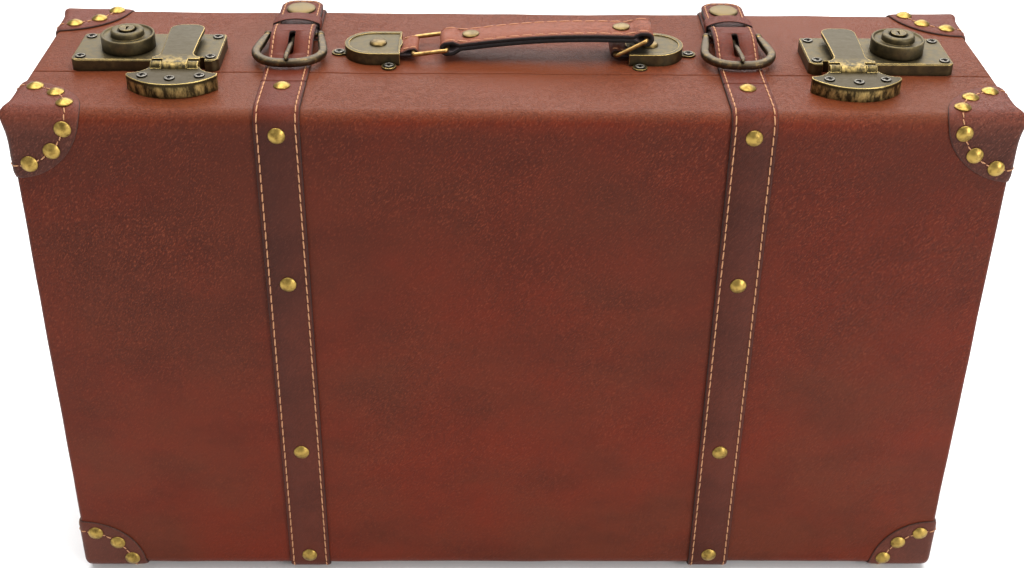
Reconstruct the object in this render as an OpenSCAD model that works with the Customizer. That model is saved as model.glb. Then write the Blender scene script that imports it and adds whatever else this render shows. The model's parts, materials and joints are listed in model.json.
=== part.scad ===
// Hard leather suitcase that stands on its long narrow side, with the lid at the front.
// X runs along the case, Y from the lid (front) to the back, Z up from the surface it stands on.
// The origin is the middle of the footprint. "Top" is the narrow side that carries the handle.

/* [Case] */
// Length of the leather shell along X
case_w = 540; // [500:1:640]
// Thickness of the closed shell from the lid face to the back, along Y
case_d = 150; // [140:1:190]
// Height of the standing shell along Z
case_h = 320; // [250:1:400]
// Depth of the lid, from its face to the seam
lid_d = 53.5; // [50:0.5:57]
// Radius of the rolled outer edges
edge_r = 8; // [6:0.5:10]
// Radius of the tighter edges round the two ends
end_r = 2.5; // [1.5:0.5:5]
// Gap between the rims of the lid and the base
seam_gap = 0.6; // [0.4:0.1:1]
// Thickness of the fibreboard panels
board_t = 5; // [4:0.5:7]
// Thickness of the leather cover
cover_t = 1.2; // [0.8:0.1:1.6]
// Thickness of the cloth lining
lining_t = 0.8; // [0.5:0.1:1.2]

/* [Corner patches and tacks] */
// Thickness of the sewn corner patches
patch_t = 1.6; // [1.2:0.1:2]
// Reach of a patch from its corner
patch_r = 38.5; // [34:0.5:44]
// Radius of the row of tacks round a corner
tack_ring = 31; // [28:0.5:33]
// Distance from the outermost tacks to the edge of the case
tack_edge = 9; // [8.5:0.5:11]
// Radius of a tack's head
tack_r = 4.7; // [3.5:0.1:5.2]
// Height of a tack's domed head
tack_h = 2.4; // [2.2:0.1:3]

/* [Straps] */
// Distance of each strap from the middle of the case
strap_x = 127.5; // [126:0.5:129]
// Width of the lid's straps and of their tongues
strap_w = 25; // [22:0.5:25]
// Width of the base's straps
base_strap_w = 27; // [25:0.5:29]
// Thickness of the straps on the lid
strap_t = 2.2; // [1.8:0.1:2.4]
// Thickness of the straps on the base
base_strap_t = 2; // [1.5:0.1:2]
// Distance from the middle of the strap to its inner tacks
tack_step = 60; // [50:1:70]
// How far the two middle tacks of a strap sit below even spacing
tack_drop = 5; // [0:0.5:8]
// Distance from the shell's edges to the strap's end tacks
tack_end = 12; // [11:0.5:16]
// Distance behind the lid face at which the tongue starts to lift
tongue_root = 37; // [36:0.5:39]
// Thickness of a tongue
tongue_t = 2; // [1.6:0.1:2]
// Distance in front of the back face at which a tongue ends
tongue_stop = 2.5; // [2:0.5:5]
// Distance in front of the back face of the press disc and its cap
press_back = 17.5; // [16:0.5:19]
// Radius of the brass cap on the tongue
cap_disc_r = 8.8; // [7:0.1:9.5]

/* [Buckles] */
// Distance of the buckle's heel bar in front of the back face
heel_front = 55.5; // [52:0.5:60]
// Distance from the heel bar to the middle of the front bar
frame_l = 40.5; // [40:0.5:42]
// Width between the middles of the frame's side wires at the front
frame_w = 43.4; // [42.6:0.2:44.6]
// Width between the middles of the frame's side wires at the heel
heel_w = 30.4; // [30.2:0.2:31]
// Radius of the frame's wire
frame_wire_r = 2.3; // [2:0.1:2.4]
// Bend radius of the frame's round front
frame_bend_r = 16; // [13:0.5:17]
// Radius of the heel bar
heel_r = 1.3; // [1.1:0.1:1.3]
// Thickness of the leather that is folded round the heel bar
chape_t = 1; // [0.8:0.1:1]
// Radius of the prong
prong_r = 1.3; // [1:0.1:1.3]
// Width of the keeper band
keeper_w = 10; // [7:0.5:10]

/* [Locks] */
// Distance of each lock from the middle of the case
lock_x = 206.5; // [204:0.5:209]
// Length of the lock case
lock_w = 82; // [80:0.5:84]
// Depth of the lock case behind the seam
lock_d = 38; // [37:0.5:40]
// Height of the lock case
lock_h = 7; // [6.8:0.1:7.4]
// Wall thickness of the lock case
lock_wall = 1.4; // [1:0.1:1.5]
// Radius of the round cylinder housing
boss_r = 15; // [14:0.5:16]
// Height of the cylinder housing above the lock case
boss_h = 8; // [7:0.5:9]
// Offset of the cylinder from the middle of the lock, away from the hasp
boss_off = 12; // [11:0.5:13]
// Radius of the turning plug
plug_r = 4.25; // [3.8:0.05:4.3]
// Radius at which the plug's crank drives the bolt
crank_r = 4; // [3.5:0.1:4]
// Offset of the hasp from the middle of the lock, towards the handle
hasp_off = 19.5; // [19:0.5:20]
// Distance of the hasp's pin in front of the seam
hasp_pin_front = 11.5; // [11:0.5:12]
// Height of the hasp's pin above the leather
hasp_pin_h = 8.2; // [8:0.1:8.6]
// Radius of the hasp's knuckles
hasp_knuckle_r = 3.2; // [3:0.1:3.3]
// Length of the hasp's lever from its pin to its rounded tip
lever_l = 50; // [47:0.5:52]
// Width of the lever at its tip
lever_w = 19.4; // [18.6:0.2:20]

/* [Handle] */
// Distance of the handle's middle line behind the seam
handle_back = 27.5; // [25:0.5:30]
// Distance of the ring pivots from the middle of the case
pivot_x = 57.5; // [55:0.5:59]
// Height of the ring pivots above the leather
pivot_h = 5; // [4.8:0.1:5.4]
// Distance between the two bars of a ring
ring_l = 19.5; // [18:0.5:21]
// Width between the middles of a ring's side wires
ring_w = 26.5; // [26.5:0.5:28]
// Radius of the ring wire
ring_wire_r = 1.25; // [1.1:0.05:1.3]
// Resting angle of the left ring above the leather
ring_left_rest = 8; // [6:1:12]
// Resting angle of the right ring above the leather
ring_right_rest = 28; // [26:1:32]
// Width of the leather grip
grip_w = 23; // [20:0.5:23]
// Thickness of one layer of the grip
grip_t = 2.4; // [2:0.1:2.6]
// Length of a handle cap
cap_l = 32; // [30:0.5:34]
// Width of a handle cap
cap_w = 33; // [31:0.5:35]
// Height of a handle cap
cap_h = 7; // [6.6:0.1:7]
// Wall thickness of a handle cap
cap_wall = 1.4; // [1:0.1:1.5]

/* [Hinges and screws] */
// Distance of each hinge from the middle of the case
hinge_x = 190; // [160:1:215]
// Length of a hinge along its pin
hinge_l = 36; // [30:1:44]
// Reach of a hinge leaf from the pin
leaf_reach = 18; // [16:0.5:20]
// Thickness of a hinge leaf
leaf_t = 1.2; // [1:0.1:1.4]
// Radius of the hinge pin
hinge_pin_r = 0.8; // [0.6:0.1:0.9]
// Radius of the screw heads
screw_head_r = 2.9; // [2.4:0.1:3]
// Radius of the screw shanks
screw_r = 1; // [0.8:0.1:1.1]

/* [Hidden] */

// Bottom of the shell above the surface it stands on: a patch and a tack lie under it
foot_h = patch_t + tack_h;
top_z = foot_h + case_h;
front_y = -case_d/2;
back_y = case_d/2;
seam_y = front_y + lid_d;
lid_rim = seam_y - seam_gap/2;
base_rim = seam_y + seam_gap/2;
reach = case_w + case_d + case_h;
// Smallest inside radius of a folded panel
fold_min = 0.5;
// The tack's dome is cut off this far below its theoretical tip, as a flat crown
crown = 0.12;
// Running clearance of pins in knuckles and of the plug in its housing
fit = 0.05;
// Clearance between flat pieces that lie on each other and part when something opens
lay = 0.3;

// Straps and tongues, as heights above the leather of the top
tongue_y = front_y + tongue_root;
top_tack_y = front_y + 30.5;
heel_at = back_y - heel_front;
press_y = back_y - press_back;
tongue_end = back_y - tongue_stop;
keeper_t = 1;
keeper_y = heel_at + 12;
keeper_room = 0.4;
keeper_crown = 11.1;
keeper_arch_r = 32;
press_t = 0.6;
press_r = 6;
press_shank_r = 2.5;
chape_low = base_strap_t + lay + keeper_t + 0.1;
heel_h = chape_low + chape_t + heel_r + 2*fit;
fold_r = heel_r + 2*fit + chape_t;
tongue_crest = heel_h + fold_r + 0.1;
tongue_tail = chape_low + chape_t + 0.1;
rise_y = [heel_at - 33.5, heel_at - 5];
fall_y = [heel_at + 2.5, heel_at + 15.5];
front_bar_y = heel_at - frame_l;
prong_slot = [heel_at - 22.5, heel_at - 6.5];

tip_r = 8;

// Locks
lock_front = seam_y + 0.5;
lock_y = lock_front + lock_d/2;
screw_in = 4.8;
bolt_low = 2.2;
bolt_t = 2.6;
bolt_w = 5;
bolt_play = 0.3;
crank_pin_r = 1.2;
// The crank swings from 45 degrees on one side to 45 degrees on the other
crank_x = crank_r*sin(45);
staple_t = 3;
staple_web = 1.4;
staple_half = bolt_w/2 + bolt_play + 0.1 + staple_web;
notch_w = 28;
notch_d = 4;
plug_top = lock_h + boss_h + 3.2;

// Hasps, with heights above the leather of the lid's top
hasp_x = lock_x - hasp_off;
pin_y = seam_y - hasp_pin_front;
hasp_w = 49;
hasp_back = seam_y - 20.5;
hasp_nose = seam_y - 36;
hasp_bow = 12.5;
hasp_h = 8.5;
neck_t = 2.9;
neck_w = 26;
hasp_pin_r = 1.2;
lever_knuckle = 13.8;
lever_t = 2.2;
hasp_screws = [[-15.5, seam_y - 24.5], [0, seam_y - 28], [15.5, seam_y - 24.5]];

// Handle, with heights above the leather of the top
handle_y = seam_y + handle_back;
cap_in = pivot_x + 7.5;
cap_out = cap_in + cap_l;
cap_rivet_x = cap_out - 19;
cap_rivet_r = 5;
lug_t = 1.2;
lug_r = 4.2;
lug_out = screw_head_r + 0.3;
lug_points = [[cap_out + 3.6, 0], [cap_in + 6, -cap_w/2 - lug_out], [cap_in + 6, cap_w/2 + lug_out]];
loop_t = 1.4;
loop_w = ring_w - 6.5;
ring_bend = 1.6;
far_left = [-pivot_x + ring_l*cos(ring_left_rest), pivot_h + ring_l*sin(ring_left_rest)];
far_right = [pivot_x + ring_l*cos(ring_right_rest), pivot_h + ring_l*sin(ring_right_rest)];
grip_run = far_right - far_left;
grip_l = norm(grip_run);
grip_tilt = atan2(grip_run[1], grip_run[0]);
// Room for the wire in the folds at the ends of the grip
grip_eye = ring_wire_r + 0.8;
grip_end_r = grip_eye + grip_t;
grip_rivet_in = 13.5;

// Hinges
hinge_z = foot_h/2;
knuckle_r = foot_h/2 - 0.2;
knuckle_gap = 0.3;
leaf_screws = [-hinge_l/3, 0, hinge_l/3];
screw_head_h = 1.1;
screw_depth = cover_t + board_t - 0.8;

// A box between two corners, given as ranges in X, Y and Z
module span(x, y, z) {
    translate([x[0], y[0], z[0]]) cube([x[1] - x[0], y[1] - y[0], z[1] - z[0]]);
}

// A rectangle with round corners, centred
module rounded_rect(a, b, r) {
    square([a - 2*r, b], center = true);
    square([a, b - 2*r], center = true);
    for (sx = [-1, 1], sy = [-1, 1])
        translate([sx*(a/2 - r), sy*(b/2 - r)]) circle(r = r, $fn = 48);
}

// A flat outline drawn in Y and Z, carried along X over a width w
module along_x(w) {
    rotate([90, 0, 90]) linear_extrude(w, center = true) children();
}

// A flat outline drawn in X and Z, carried along Y between two planes
module along_y(y0, y1) {
    translate([0, y1, 0]) rotate([90, 0, 0]) linear_extrude(y1 - y0) children();
}

// The whole closed shell, drawn in by an inset on every side: three crossing extrusions
// with rolled edges, tighter round the two ends
module form(inset) {
    w = case_w - 2*inset;
    d = case_d - 2*inset;
    h = case_h - 2*inset;
    tight = max(end_r - inset, fold_min);
    translate([0, 0, foot_h + case_h/2]) intersection() {
        linear_extrude(h + 2, center = true) rounded_rect(w, d, tight);
        along_y(-d/2 - 1, d/2 + 1) rounded_rect(w, h, tight);
        along_x(w + 2) rounded_rect(d, h, max(edge_r - inset, fold_min));
    }
}

// Everything in front of, or behind, a plane across the case
module in_front_of(y) {
    span([-reach, reach], [-reach, y], [-reach, reach]);
}
module behind(y) {
    span([-reach, reach], [y, reach], [-reach, reach]);
}

// A low dome on a flat base, with a flat crown
module dome(r, h) {
    tip = h + crown;
    ball = (r*r + tip*tip)/(2*tip);
    intersection() {
        translate([0, 0, tip - ball]) sphere(r = ball, $fn = 64);
        cylinder(r = r + 1, h = h, $fn = 48);
    }
}

module tack() {
    dome(tack_r, tack_h);
}

// A pan-headed screw with a cross recess, pointing down from the plane it clamps
module screw(shank) {
    difference() {
        dome(screw_head_r, screw_head_h);
        for (turn = [0, 90])
            rotate([0, 0, turn]) translate([-1.5, -0.35, 0.45]) cube([3, 0.7, 2]);
    }
    translate([0, 0, -shank]) cylinder(r = screw_r, h = shank + 0.2, $fn = 24);
}

function lock_screw_points() = [for (side = [-1, 1], sx = [-1, 1], sy = [-1, 1])
    [side*(lock_x + sx*(lock_w/2 - screw_in)), lock_y + sy*(lock_d/2 - screw_in)]];
function handle_screw_points() = [for (side = [-1, 1], p = lug_points)
    [side*p[0], handle_y + p[1]]];
function hasp_screw_points() = [for (side = [-1, 1], p = hasp_screws)
    [side*(hasp_x + p[0]), p[1]]];
function hinge_screw_points(half) = [for (side = [-1, 1], u = leaf_screws)
    [side*hinge_x + u, seam_y + half*(leaf_reach - 5.5)]];

// Blind pilot holes for screws that come from above the top or from below the bottom
module top_pilots(points) {
    for (p = points)
        translate([p[0], p[1], top_z - screw_depth]) cylinder(r = screw_r + fit, h = reach, $fn = 24);
}
module bottom_pilots(points) {
    for (p = points)
        translate([p[0], p[1], -1]) cylinder(r = screw_r + fit, h = foot_h + screw_depth + 1, $fn = 24);
}

// The two halves of the case: boards glued edge to edge, under the leather skin
module base_boards() color("#b08a5a") difference() {
    intersection() { form(cover_t); behind(base_rim + cover_t); }
    form(cover_t + board_t);
    top_pilots(concat(lock_screw_points(), handle_screw_points()));
    bottom_pilots(hinge_screw_points(1));
}
module lid_boards() color("#b08a5a") difference() {
    intersection() { form(cover_t); in_front_of(lid_rim - cover_t); }
    form(cover_t + board_t);
    top_pilots(hasp_screw_points());
    bottom_pilots(hinge_screw_points(-1));
}

// Leather skin of one half, turned in over the edges of its boards
module base_cover() color("#733828") difference() {
    intersection() { form(0); behind(base_rim); }
    intersection() { form(cover_t); behind(base_rim + cover_t); }
    intersection() { form(cover_t + board_t); behind(base_rim - 1); }
    top_pilots(concat(lock_screw_points(), handle_screw_points()));
    bottom_pilots(hinge_screw_points(1));
}
module lid_cover() color("#733828") difference() {
    intersection() { form(0); in_front_of(lid_rim); }
    intersection() { form(cover_t); in_front_of(lid_rim - cover_t); }
    intersection() { form(cover_t + board_t); in_front_of(lid_rim + 1); }
    top_pilots(hasp_screw_points());
    bottom_pilots(hinge_screw_points(-1));
}

module base_lining() color("#c9b08c") difference() {
    intersection() { form(cover_t + board_t); behind(base_rim); }
    form(cover_t + board_t + lining_t);
}
module lid_lining() color("#c9b08c") difference() {
    intersection() { form(cover_t + board_t); in_front_of(lid_rim); }
    form(cover_t + board_t + lining_t);
}

// Leather patches over the four outer corners of one half: dir is -1 for the lid, 1 for the base
module corner_patches(dir) {
    intersection() {
        difference() { form(-patch_t); form(0); }
        union() {
            for (sx = [-1, 1], z = [foot_h, top_z])
                translate([sx*case_w/2, dir*case_d/2, z]) sphere(r = patch_r, $fn = 96);
        }
    }
}
module base_corners() color("#4a2a20") corner_patches(1);
module lid_corners() color("#4a2a20") corner_patches(-1);

// Places of the three tacks on one face of a corner, as distances from its two edges
function ring_points() = [for (turn = [-1, 0, 1])
    let (a = 45 + turn*(45 - asin(tack_edge/tack_ring))) [tack_ring*cos(a), tack_ring*sin(a)]];

// Tacks on the large face and on the ends of one half
module face_tacks(dir) {
    for (sx = [-1, 1], up = [-1, 1], p = ring_points()) {
        z = up < 0 ? foot_h + p[1] : top_z - p[1];
        translate([sx*(case_w/2 - p[0]), dir*(case_d/2 + patch_t), z]) rotate([-dir*90, 0, 0]) tack();
        translate([sx*(case_w/2 + patch_t), dir*(case_d/2 - p[0]), z]) rotate([0, sx*90, 0]) tack();
    }
    for (sx = [-1, 1], p = ring_points())
        translate([sx*(case_w/2 - p[0]), dir*(case_d/2 - p[1]), top_z + patch_t]) tack();
}
// Tacks under the corners of one half, which the case stands on
module foot_tacks(dir) {
    for (sx = [-1, 1], p = ring_points())
        translate([sx*(case_w/2 - p[0]), dir*(case_d/2 - p[1]), tack_h]) rotate([180, 0, 0]) tack();
}
module base_corner_tacks() color("#c9a646") face_tacks(1);
module lid_corner_tacks() color("#c9a646") face_tacks(-1);
module base_foot_tacks() color("#c9a646") foot_tacks(1);
module lid_foot_tacks() color("#c9a646") foot_tacks(-1);

// A flat strap laid round the closed shell, of width w and thickness t
module strap_round(w, t) {
    translate([0, 0, foot_h + case_h/2]) along_x(w) difference() {
        rounded_rect(case_d + 2*t, case_h + 2*t, edge_r + t);
        rounded_rect(case_d, case_h, edge_r);
    }
}
module lid_strap(side) color("#5a3228") translate([side*strap_x, 0, 0]) intersection() {
    strap_round(strap_w, strap_t);
    union() {
        span([-reach, reach], [-reach, tongue_y - lay], [foot_h + case_h/2, reach]);
        span([-reach, reach], [-reach, seam_y - leaf_reach], [-reach, foot_h + case_h/2 + 1]);
    }
}
module base_strap(side) color("#5a3228") translate([side*strap_x, 0, 0]) intersection() {
    strap_round(base_strap_w, base_strap_t);
    union() {
        span([-reach, reach], [heel_at + 4.5, reach], [foot_h + case_h/2, reach]);
        span([-reach, reach], [seam_y + leaf_reach, reach], [-reach, foot_h + case_h/2 + 1]);
    }
}
module lid_strap_left() lid_strap(-1);
module lid_strap_right() lid_strap(1);
module base_strap_left() base_strap(-1);
module base_strap_right() base_strap(1);

// Heights of the four tacks along a strap on a large face
function strap_tack_heights() = [foot_h + tack_end, foot_h + case_h/2 - tack_step - tack_drop,
    foot_h + case_h/2 + tack_step - tack_drop, top_z - tack_end];
module strap_face_tacks(dir, t) {
    for (side = [-1, 1], z = strap_tack_heights())
        translate([side*strap_x, dir*(case_d/2 + t), z]) rotate([-dir*90, 0, 0]) tack();
}
module lid_strap_tacks() color("#c9a646") {
    strap_face_tacks(-1, strap_t);
    for (side = [-1, 1])
        translate([side*strap_x, top_tack_y, top_z + strap_t]) tack();
}
module base_strap_tacks() color("#c9a646") strap_face_tacks(1, base_strap_t);

// Flat press discs on the base's straps, under the tongues
module base_press_discs() color("#8f8560") {
    for (side = [-1, 1])
        translate([side*strap_x, press_y, top_z + base_strap_t]) cylinder(r = press_r, h = press_t, $fn = 48);
}

// Height of a tongue's underside above the leather: a smooth rise over the buckle's heel bar
// and a smooth fall to the keeper
function ease(y, run) = (1 - cos(180*min(max((y - run[0])/(run[1] - run[0]), 0), 1)))/2;
function tongue_low(y) = lay + (tongue_crest - lay)*ease(y, rise_y)
    - (tongue_crest - tongue_tail)*ease(y, fall_y);
function tongue_stations() = concat([tongue_y],
    [for (i = [0:12]) rise_y[0] + (rise_y[1] - rise_y[0])*i/12],
    [for (i = [0:8]) fall_y[0] + (fall_y[1] - fall_y[0])*i/8], [tongue_end]);

// Plan of a strap end: straight sides and a rounded tip at y1
module strap_plan(w, y0, y1, r) {
    translate([-w/2, y0]) square([w, y1 - y0 - r]);
    translate([-w/2 + r, y0]) square([w - 2*r, y1 - y0]);
    for (sx = [-1, 1])
        translate([sx*(w/2 - r), y1 - r]) circle(r = r, $fn = 48);
}
module tongue(side) color("#5a3228") translate([side*strap_x, 0, top_z]) difference() {
    intersection() {
        along_x(strap_w) polygon(concat(
            [for (y = tongue_stations()) [y, tongue_low(y)]],
            [for (i = [len(tongue_stations()) - 1:-1:0])
                let (y = tongue_stations()[i]) [y, tongue_low(y) + tongue_t]]));
        linear_extrude(30) strap_plan(strap_w, tongue_y - 1, tongue_end, tip_r);
    }
    prong_gap = prong_r + 0.9;
    span([-prong_gap, prong_gap], prong_slot, [-1, 30]);
    for (y = prong_slot)
        translate([0, y, -1]) cylinder(r = prong_gap, h = 31, $fn = 32);
    translate([0, press_y, -1]) cylinder(r = press_shank_r + fit, h = 31, $fn = 32);
}
module tongue_left() tongue(-1);
module tongue_right() tongue(1);

// The folded leather that holds the buckle's heel bar, lying under the tongue
module buckle_chape(side) color("#4a2a20") translate([side*strap_x, 0, top_z]) difference() {
    w = heel_w - 2*frame_wire_r - 1;
    union() {
        along_x(w) {
            translate([heel_at, heel_h]) circle(r = fold_r, $fn = 48);
            polygon([[heel_at, heel_h + fold_r], [heel_at, heel_h + fold_r - chape_t],
                [heel_at + 8, chape_low + chape_t], [heel_at + 10.5, chape_low + chape_t],
                [heel_at + 9.5, chape_low + 2*chape_t]]);
        }
        translate([0, 0, chape_low]) linear_extrude(chape_t)
            strap_plan(w, heel_at, tongue_end - 1, tip_r - 1);
    }
    along_x(w + 2) translate([heel_at, heel_h]) circle(r = heel_r + 2*fit, $fn = 48);
    along_x(w + 2) polygon([[heel_at, heel_h + heel_r + 2*fit], [heel_at, heel_h - heel_r - 2*fit],
        [heel_at + 4, chape_low + chape_t], [heel_at + 7, chape_low + chape_t]]);
    span([-prong_r - 0.9, prong_r + 0.9], [heel_at - 5, heel_at + fold_r + 0.5], [0, 30]);
    translate([0, press_y, -1]) cylinder(r = press_shank_r + fit, h = 31, $fn = 32);
}
module buckle_chape_left() buckle_chape(-1);
module buckle_chape_right() buckle_chape(1);

// The arched band that the tongue passes through
module keeper(side) color("#5a3228") translate([side*strap_x, 0, top_z])
    along_y(keeper_y, keeper_y + keeper_w) {
        low = base_strap_t + lay;
        half = strap_w/2 + keeper_room;
        difference() {
            intersection() {
                translate([-half - keeper_t, low]) square([2*(half + keeper_t), keeper_crown - low]);
                translate([0, keeper_crown - keeper_arch_r]) circle(r = keeper_arch_r, $fn = 128);
            }
            intersection() {
                translate([-half, low + keeper_t]) square([2*half, keeper_crown - low]);
                translate([0, keeper_crown - keeper_arch_r]) circle(r = keeper_arch_r - keeper_t, $fn = 128);
            }
        }
    }
module keeper_left() keeper(-1);
module keeper_right() keeper(1);

// Brass cap on top of a tongue, its shank through the leather and its press disc below
module tongue_caps(side) color("#b89a50") translate([side*strap_x, press_y, top_z]) {
    translate([0, 0, tongue_tail + tongue_t]) dome(cap_disc_r, 2.2);
    translate([0, 0, chape_low - 0.1])
        cylinder(r = press_shank_r, h = tongue_tail + tongue_t - chape_low + 0.2, $fn = 32);
    translate([0, 0, chape_low - press_t]) cylinder(r = press_r, h = press_t, $fn = 48);
}
module tongue_caps_left() tongue_caps(-1);
module tongue_caps_right() tongue_caps(1);

function unit(v) = v/norm(v);
// Turn at b between the legs a-b and b-c, positive to the left
function turn_at(a, b, c) = let (u = unit(b - a), v = unit(c - b))
    atan2(u[0]*v[1] - u[1]*v[0], u[0]*v[0] + u[1]*v[1]);

// A round wire through points of the XY plane, each inner corner bent to one radius.
// The straights run a little way into the bends and are thinner there by neck, so that
// the pieces join as one solid at any angle.
module bent_wire(points, wire_r, bend_r, lap = 0.25, neck = 0.03) {
    last = len(points) - 1;
    turns = [for (i = [0:last])
        i == 0 || i == last ? 0 : turn_at(points[i - 1], points[i], points[i + 1])];
    cuts = [for (t = turns) bend_r*tan(abs(t)/2)];
    for (i = [0:last - 1]) {
        leg = points[i + 1] - points[i];
        from = i == 0 ? 0 : cuts[i] - lap;
        to = norm(leg) - (i + 1 == last ? 0 : cuts[i + 1] - lap);
        translate([points[i][0], points[i][1], 0]) rotate([0, 0, atan2(leg[1], leg[0])])
            translate([from, 0, 0]) rotate([0, 90, 0])
                cylinder(r = wire_r - neck, h = to - from, $fn = 48);
    }
    for (i = [1:last - 1]) {
        leg = points[i] - points[i - 1];
        start = points[i] - cuts[i]*unit(leg);
        translate([start[0], start[1], 0]) rotate([0, 0, atan2(leg[1], leg[0])])
            mirror([0, turns[i] < 0 ? 1 : 0, 0]) translate([0, bend_r, 0]) rotate([0, 0, -90])
                rotate_extrude(angle = abs(turns[i]), $fn = 96)
                    translate([bend_r, 0]) circle(r = wire_r, $fn = 48);
    }
}

// The buckle's frame: a bent wire that narrows to its heel, closed by the heel bar
module buckle(side) color("#8f8560") translate([side*strap_x, 0, top_z + heel_h]) {
    front = [frame_w/2, front_bar_y];
    heel = [heel_w/2, heel_at];
    bent_wire([[-heel[0], heel[1]], [-front[0], front[1]], front, heel], frame_wire_r, frame_bend_r);
    for (sx = [-1, 1])
        translate([sx*heel[0], heel[1], 0]) sphere(r = frame_wire_r + 0.1, $fn = 48);
    translate([0, heel_at, 0]) rotate([0, 90, 0])
        cylinder(r = heel_r, h = heel_w, center = true, $fn = 48);
}
module buckle_left() buckle(-1);
module buckle_right() buckle(1);

// The prong: an eye round the heel bar and a bent point that rests on the front bar
module prong(side) color("#8f8560") translate([side*strap_x, 0, top_z + heel_h]) {
    eye_r = heel_r + 2*fit + 0.9;
    over = frame_wire_r + prong_r + 0.15;
    difference() {
        union() {
            translate([0, heel_at, 0]) rotate([0, 90, 0])
                cylinder(r = eye_r, h = 2*prong_r, center = true, $fn = 48);
            rotate([90, 0, 90]) bent_wire([[heel_at - eye_r + 0.6, 0], [heel_at - 10.5, -0.8],
                [heel_at - 20.5, 1.7], [front_bar_y + 2.5, over], [front_bar_y - 4, over - 0.4]], prong_r, 6);
        }
        translate([0, heel_at, 0]) rotate([0, 90, 0])
            cylinder(r = heel_r + 2*fit, h = 10, center = true, $fn = 48);
    }
}
module prong_left() prong(-1);
module prong_right() prong(1);

// Places a right-hand lock or handle part, or its mirror image on the left
module on_side(side) {
    mirror([side < 0 ? 1 : 0, 0, 0]) children();
}

// The lock case: a chamfered tray, open below, with screw posts, a notch for the hasp's neck,
// a slot for the staple and two ribs that guide the bolt
module lock_case(side) color("#8c8264") on_side(side) translate([lock_x, lock_y, top_z]) {
    chamfer = 0.7;
    bar_y = bolt_w/2 + 0.25;
    ceiling = lock_h - lock_wall;
    difference() {
        intersection() {
            linear_extrude(lock_h) difference() {
                rounded_rect(lock_w, lock_d, 4);
                translate([-hasp_off, -lock_d/2]) rounded_rect(notch_w, 2*notch_d, 2);
            }
            along_x(lock_w) chamfered_end(lock_d, lock_h, chamfer);
            along_y(-lock_d/2, lock_d/2) chamfered_end(lock_w, lock_h, chamfer);
        }
        translate([0, 0, -1]) linear_extrude(ceiling + 1) difference() {
            rounded_rect(lock_w - 2*lock_wall, lock_d - 2*lock_wall, 4 - lock_wall);
            translate([-hasp_off, -lock_d/2])
                rounded_rect(notch_w + 2*lock_wall, 2*(notch_d + lock_wall), 2);
            for (sx = [-1, 1], sy = [-1, 1])
                translate([sx*(lock_w/2 - screw_in), sy*(lock_d/2 - screw_in)])
                    circle(r = screw_in - lock_wall + 0.4, $fn = 32);
        }
        span([-hasp_off - 4, -hasp_off + 4], [-lock_d, staple_half + 3], [-1, lock_h + 1]);
        translate([boss_off, 0, 0]) cylinder(r = plug_r + fit, h = lock_h + 1, $fn = 64);
        for (sx = [-1, 1], sy = [-1, 1])
            translate([sx*(lock_w/2 - screw_in), sy*(lock_d/2 - screw_in), -1])
                cylinder(r = screw_r + 0.1, h = lock_h + 2, $fn = 24);
    }
    for (sy = [-1, 1])
        translate([-10, sy*(bar_y + 0.6) - 0.6, bolt_low - 0.2]) cube([9, 1.2, ceiling - bolt_low + 0.4]);
}
module chamfered_end(w, h, c) {
    polygon([[-w/2, 0], [w/2, 0], [w/2, h - c], [w/2 - c, h], [-w/2 + c, h], [-w/2, h - c]]);
}
module lock_case_left() lock_case(-1);
module lock_case_right() lock_case(1);

// The round cylinder housing: a rim, a dished top and a raised collar round the plug
module lock_boss(side) color("#8c8264") on_side(side)
    translate([lock_x + boss_off, lock_y, top_z + lock_h]) rotate_extrude($fn = 96) {
        bore = plug_r + fit;
        collar_r = boss_r - 5.7;
        polygon([[bore, 0], [boss_r, 0], [boss_r, boss_h - 0.5], [boss_r - 0.5, boss_h],
            [boss_r - 1.2, boss_h], [boss_r - 1.8, boss_h - 0.9], [collar_r + 0.4, boss_h - 1.1],
            [collar_r, boss_h - 1.1], [collar_r, boss_h + 1.6], [collar_r - 0.8, boss_h + 2.6],
            [collar_r - 2.4, boss_h + 2.6], [bore + 0.6, boss_h + 2.1], [bore, boss_h + 2.1]]);
    }
module lock_boss_left() lock_boss(-1);
module lock_boss_right() lock_boss(1);

// The plug that the key turns, with its crank below
module lock_plug(side) color("#a89c78") on_side(side)
    translate([lock_x + boss_off, lock_y, top_z]) {
        low = bolt_low + bolt_t + 0.5;
        difference() {
            translate([0, 0, low]) cylinder(r = plug_r, h = plug_top - low, $fn = 64);
            translate([-0.45, -2.6, plug_top - 3]) cube([0.9, 4.2, 4]);
            translate([0, 1.2, plug_top - 3]) cylinder(r = 1, h = 4, $fn = 24);
        }
        translate([crank_x, crank_x, bolt_low - 0.2])
            cylinder(r = crank_pin_r, h = low - bolt_low + 0.4, $fn = 32);
    }
module lock_plug_left() lock_plug(-1);
module lock_plug_right() lock_plug(1);

// The sliding bolt: a bar with a yoke for the crank
module lock_bolt(side) color("#9a9a92") on_side(side)
    translate([lock_x, lock_y, top_z + bolt_low]) linear_extrude(bolt_t) {
        crank_at = boss_off + crank_x;
        slot_x = crank_pin_r + bolt_play;
        tip = -hasp_off + staple_t/2 + 0.8;
        difference() {
            union() {
                translate([tip, -bolt_w/2]) square([crank_at + slot_x + 2 - tip, bolt_w]);
                translate([crank_at - slot_x - 2, -bolt_w/2])
                    square([2*slot_x + 4, bolt_w/2 + crank_r + crank_pin_r + bolt_play + 1.8]);
            }
            translate([crank_at - slot_x, crank_x - slot_x])
                square([2*slot_x, crank_r - crank_x + 2*slot_x]);
        }
    }
module lock_bolt_left() lock_bolt(-1);
module lock_bolt_right() lock_bolt(1);

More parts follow.
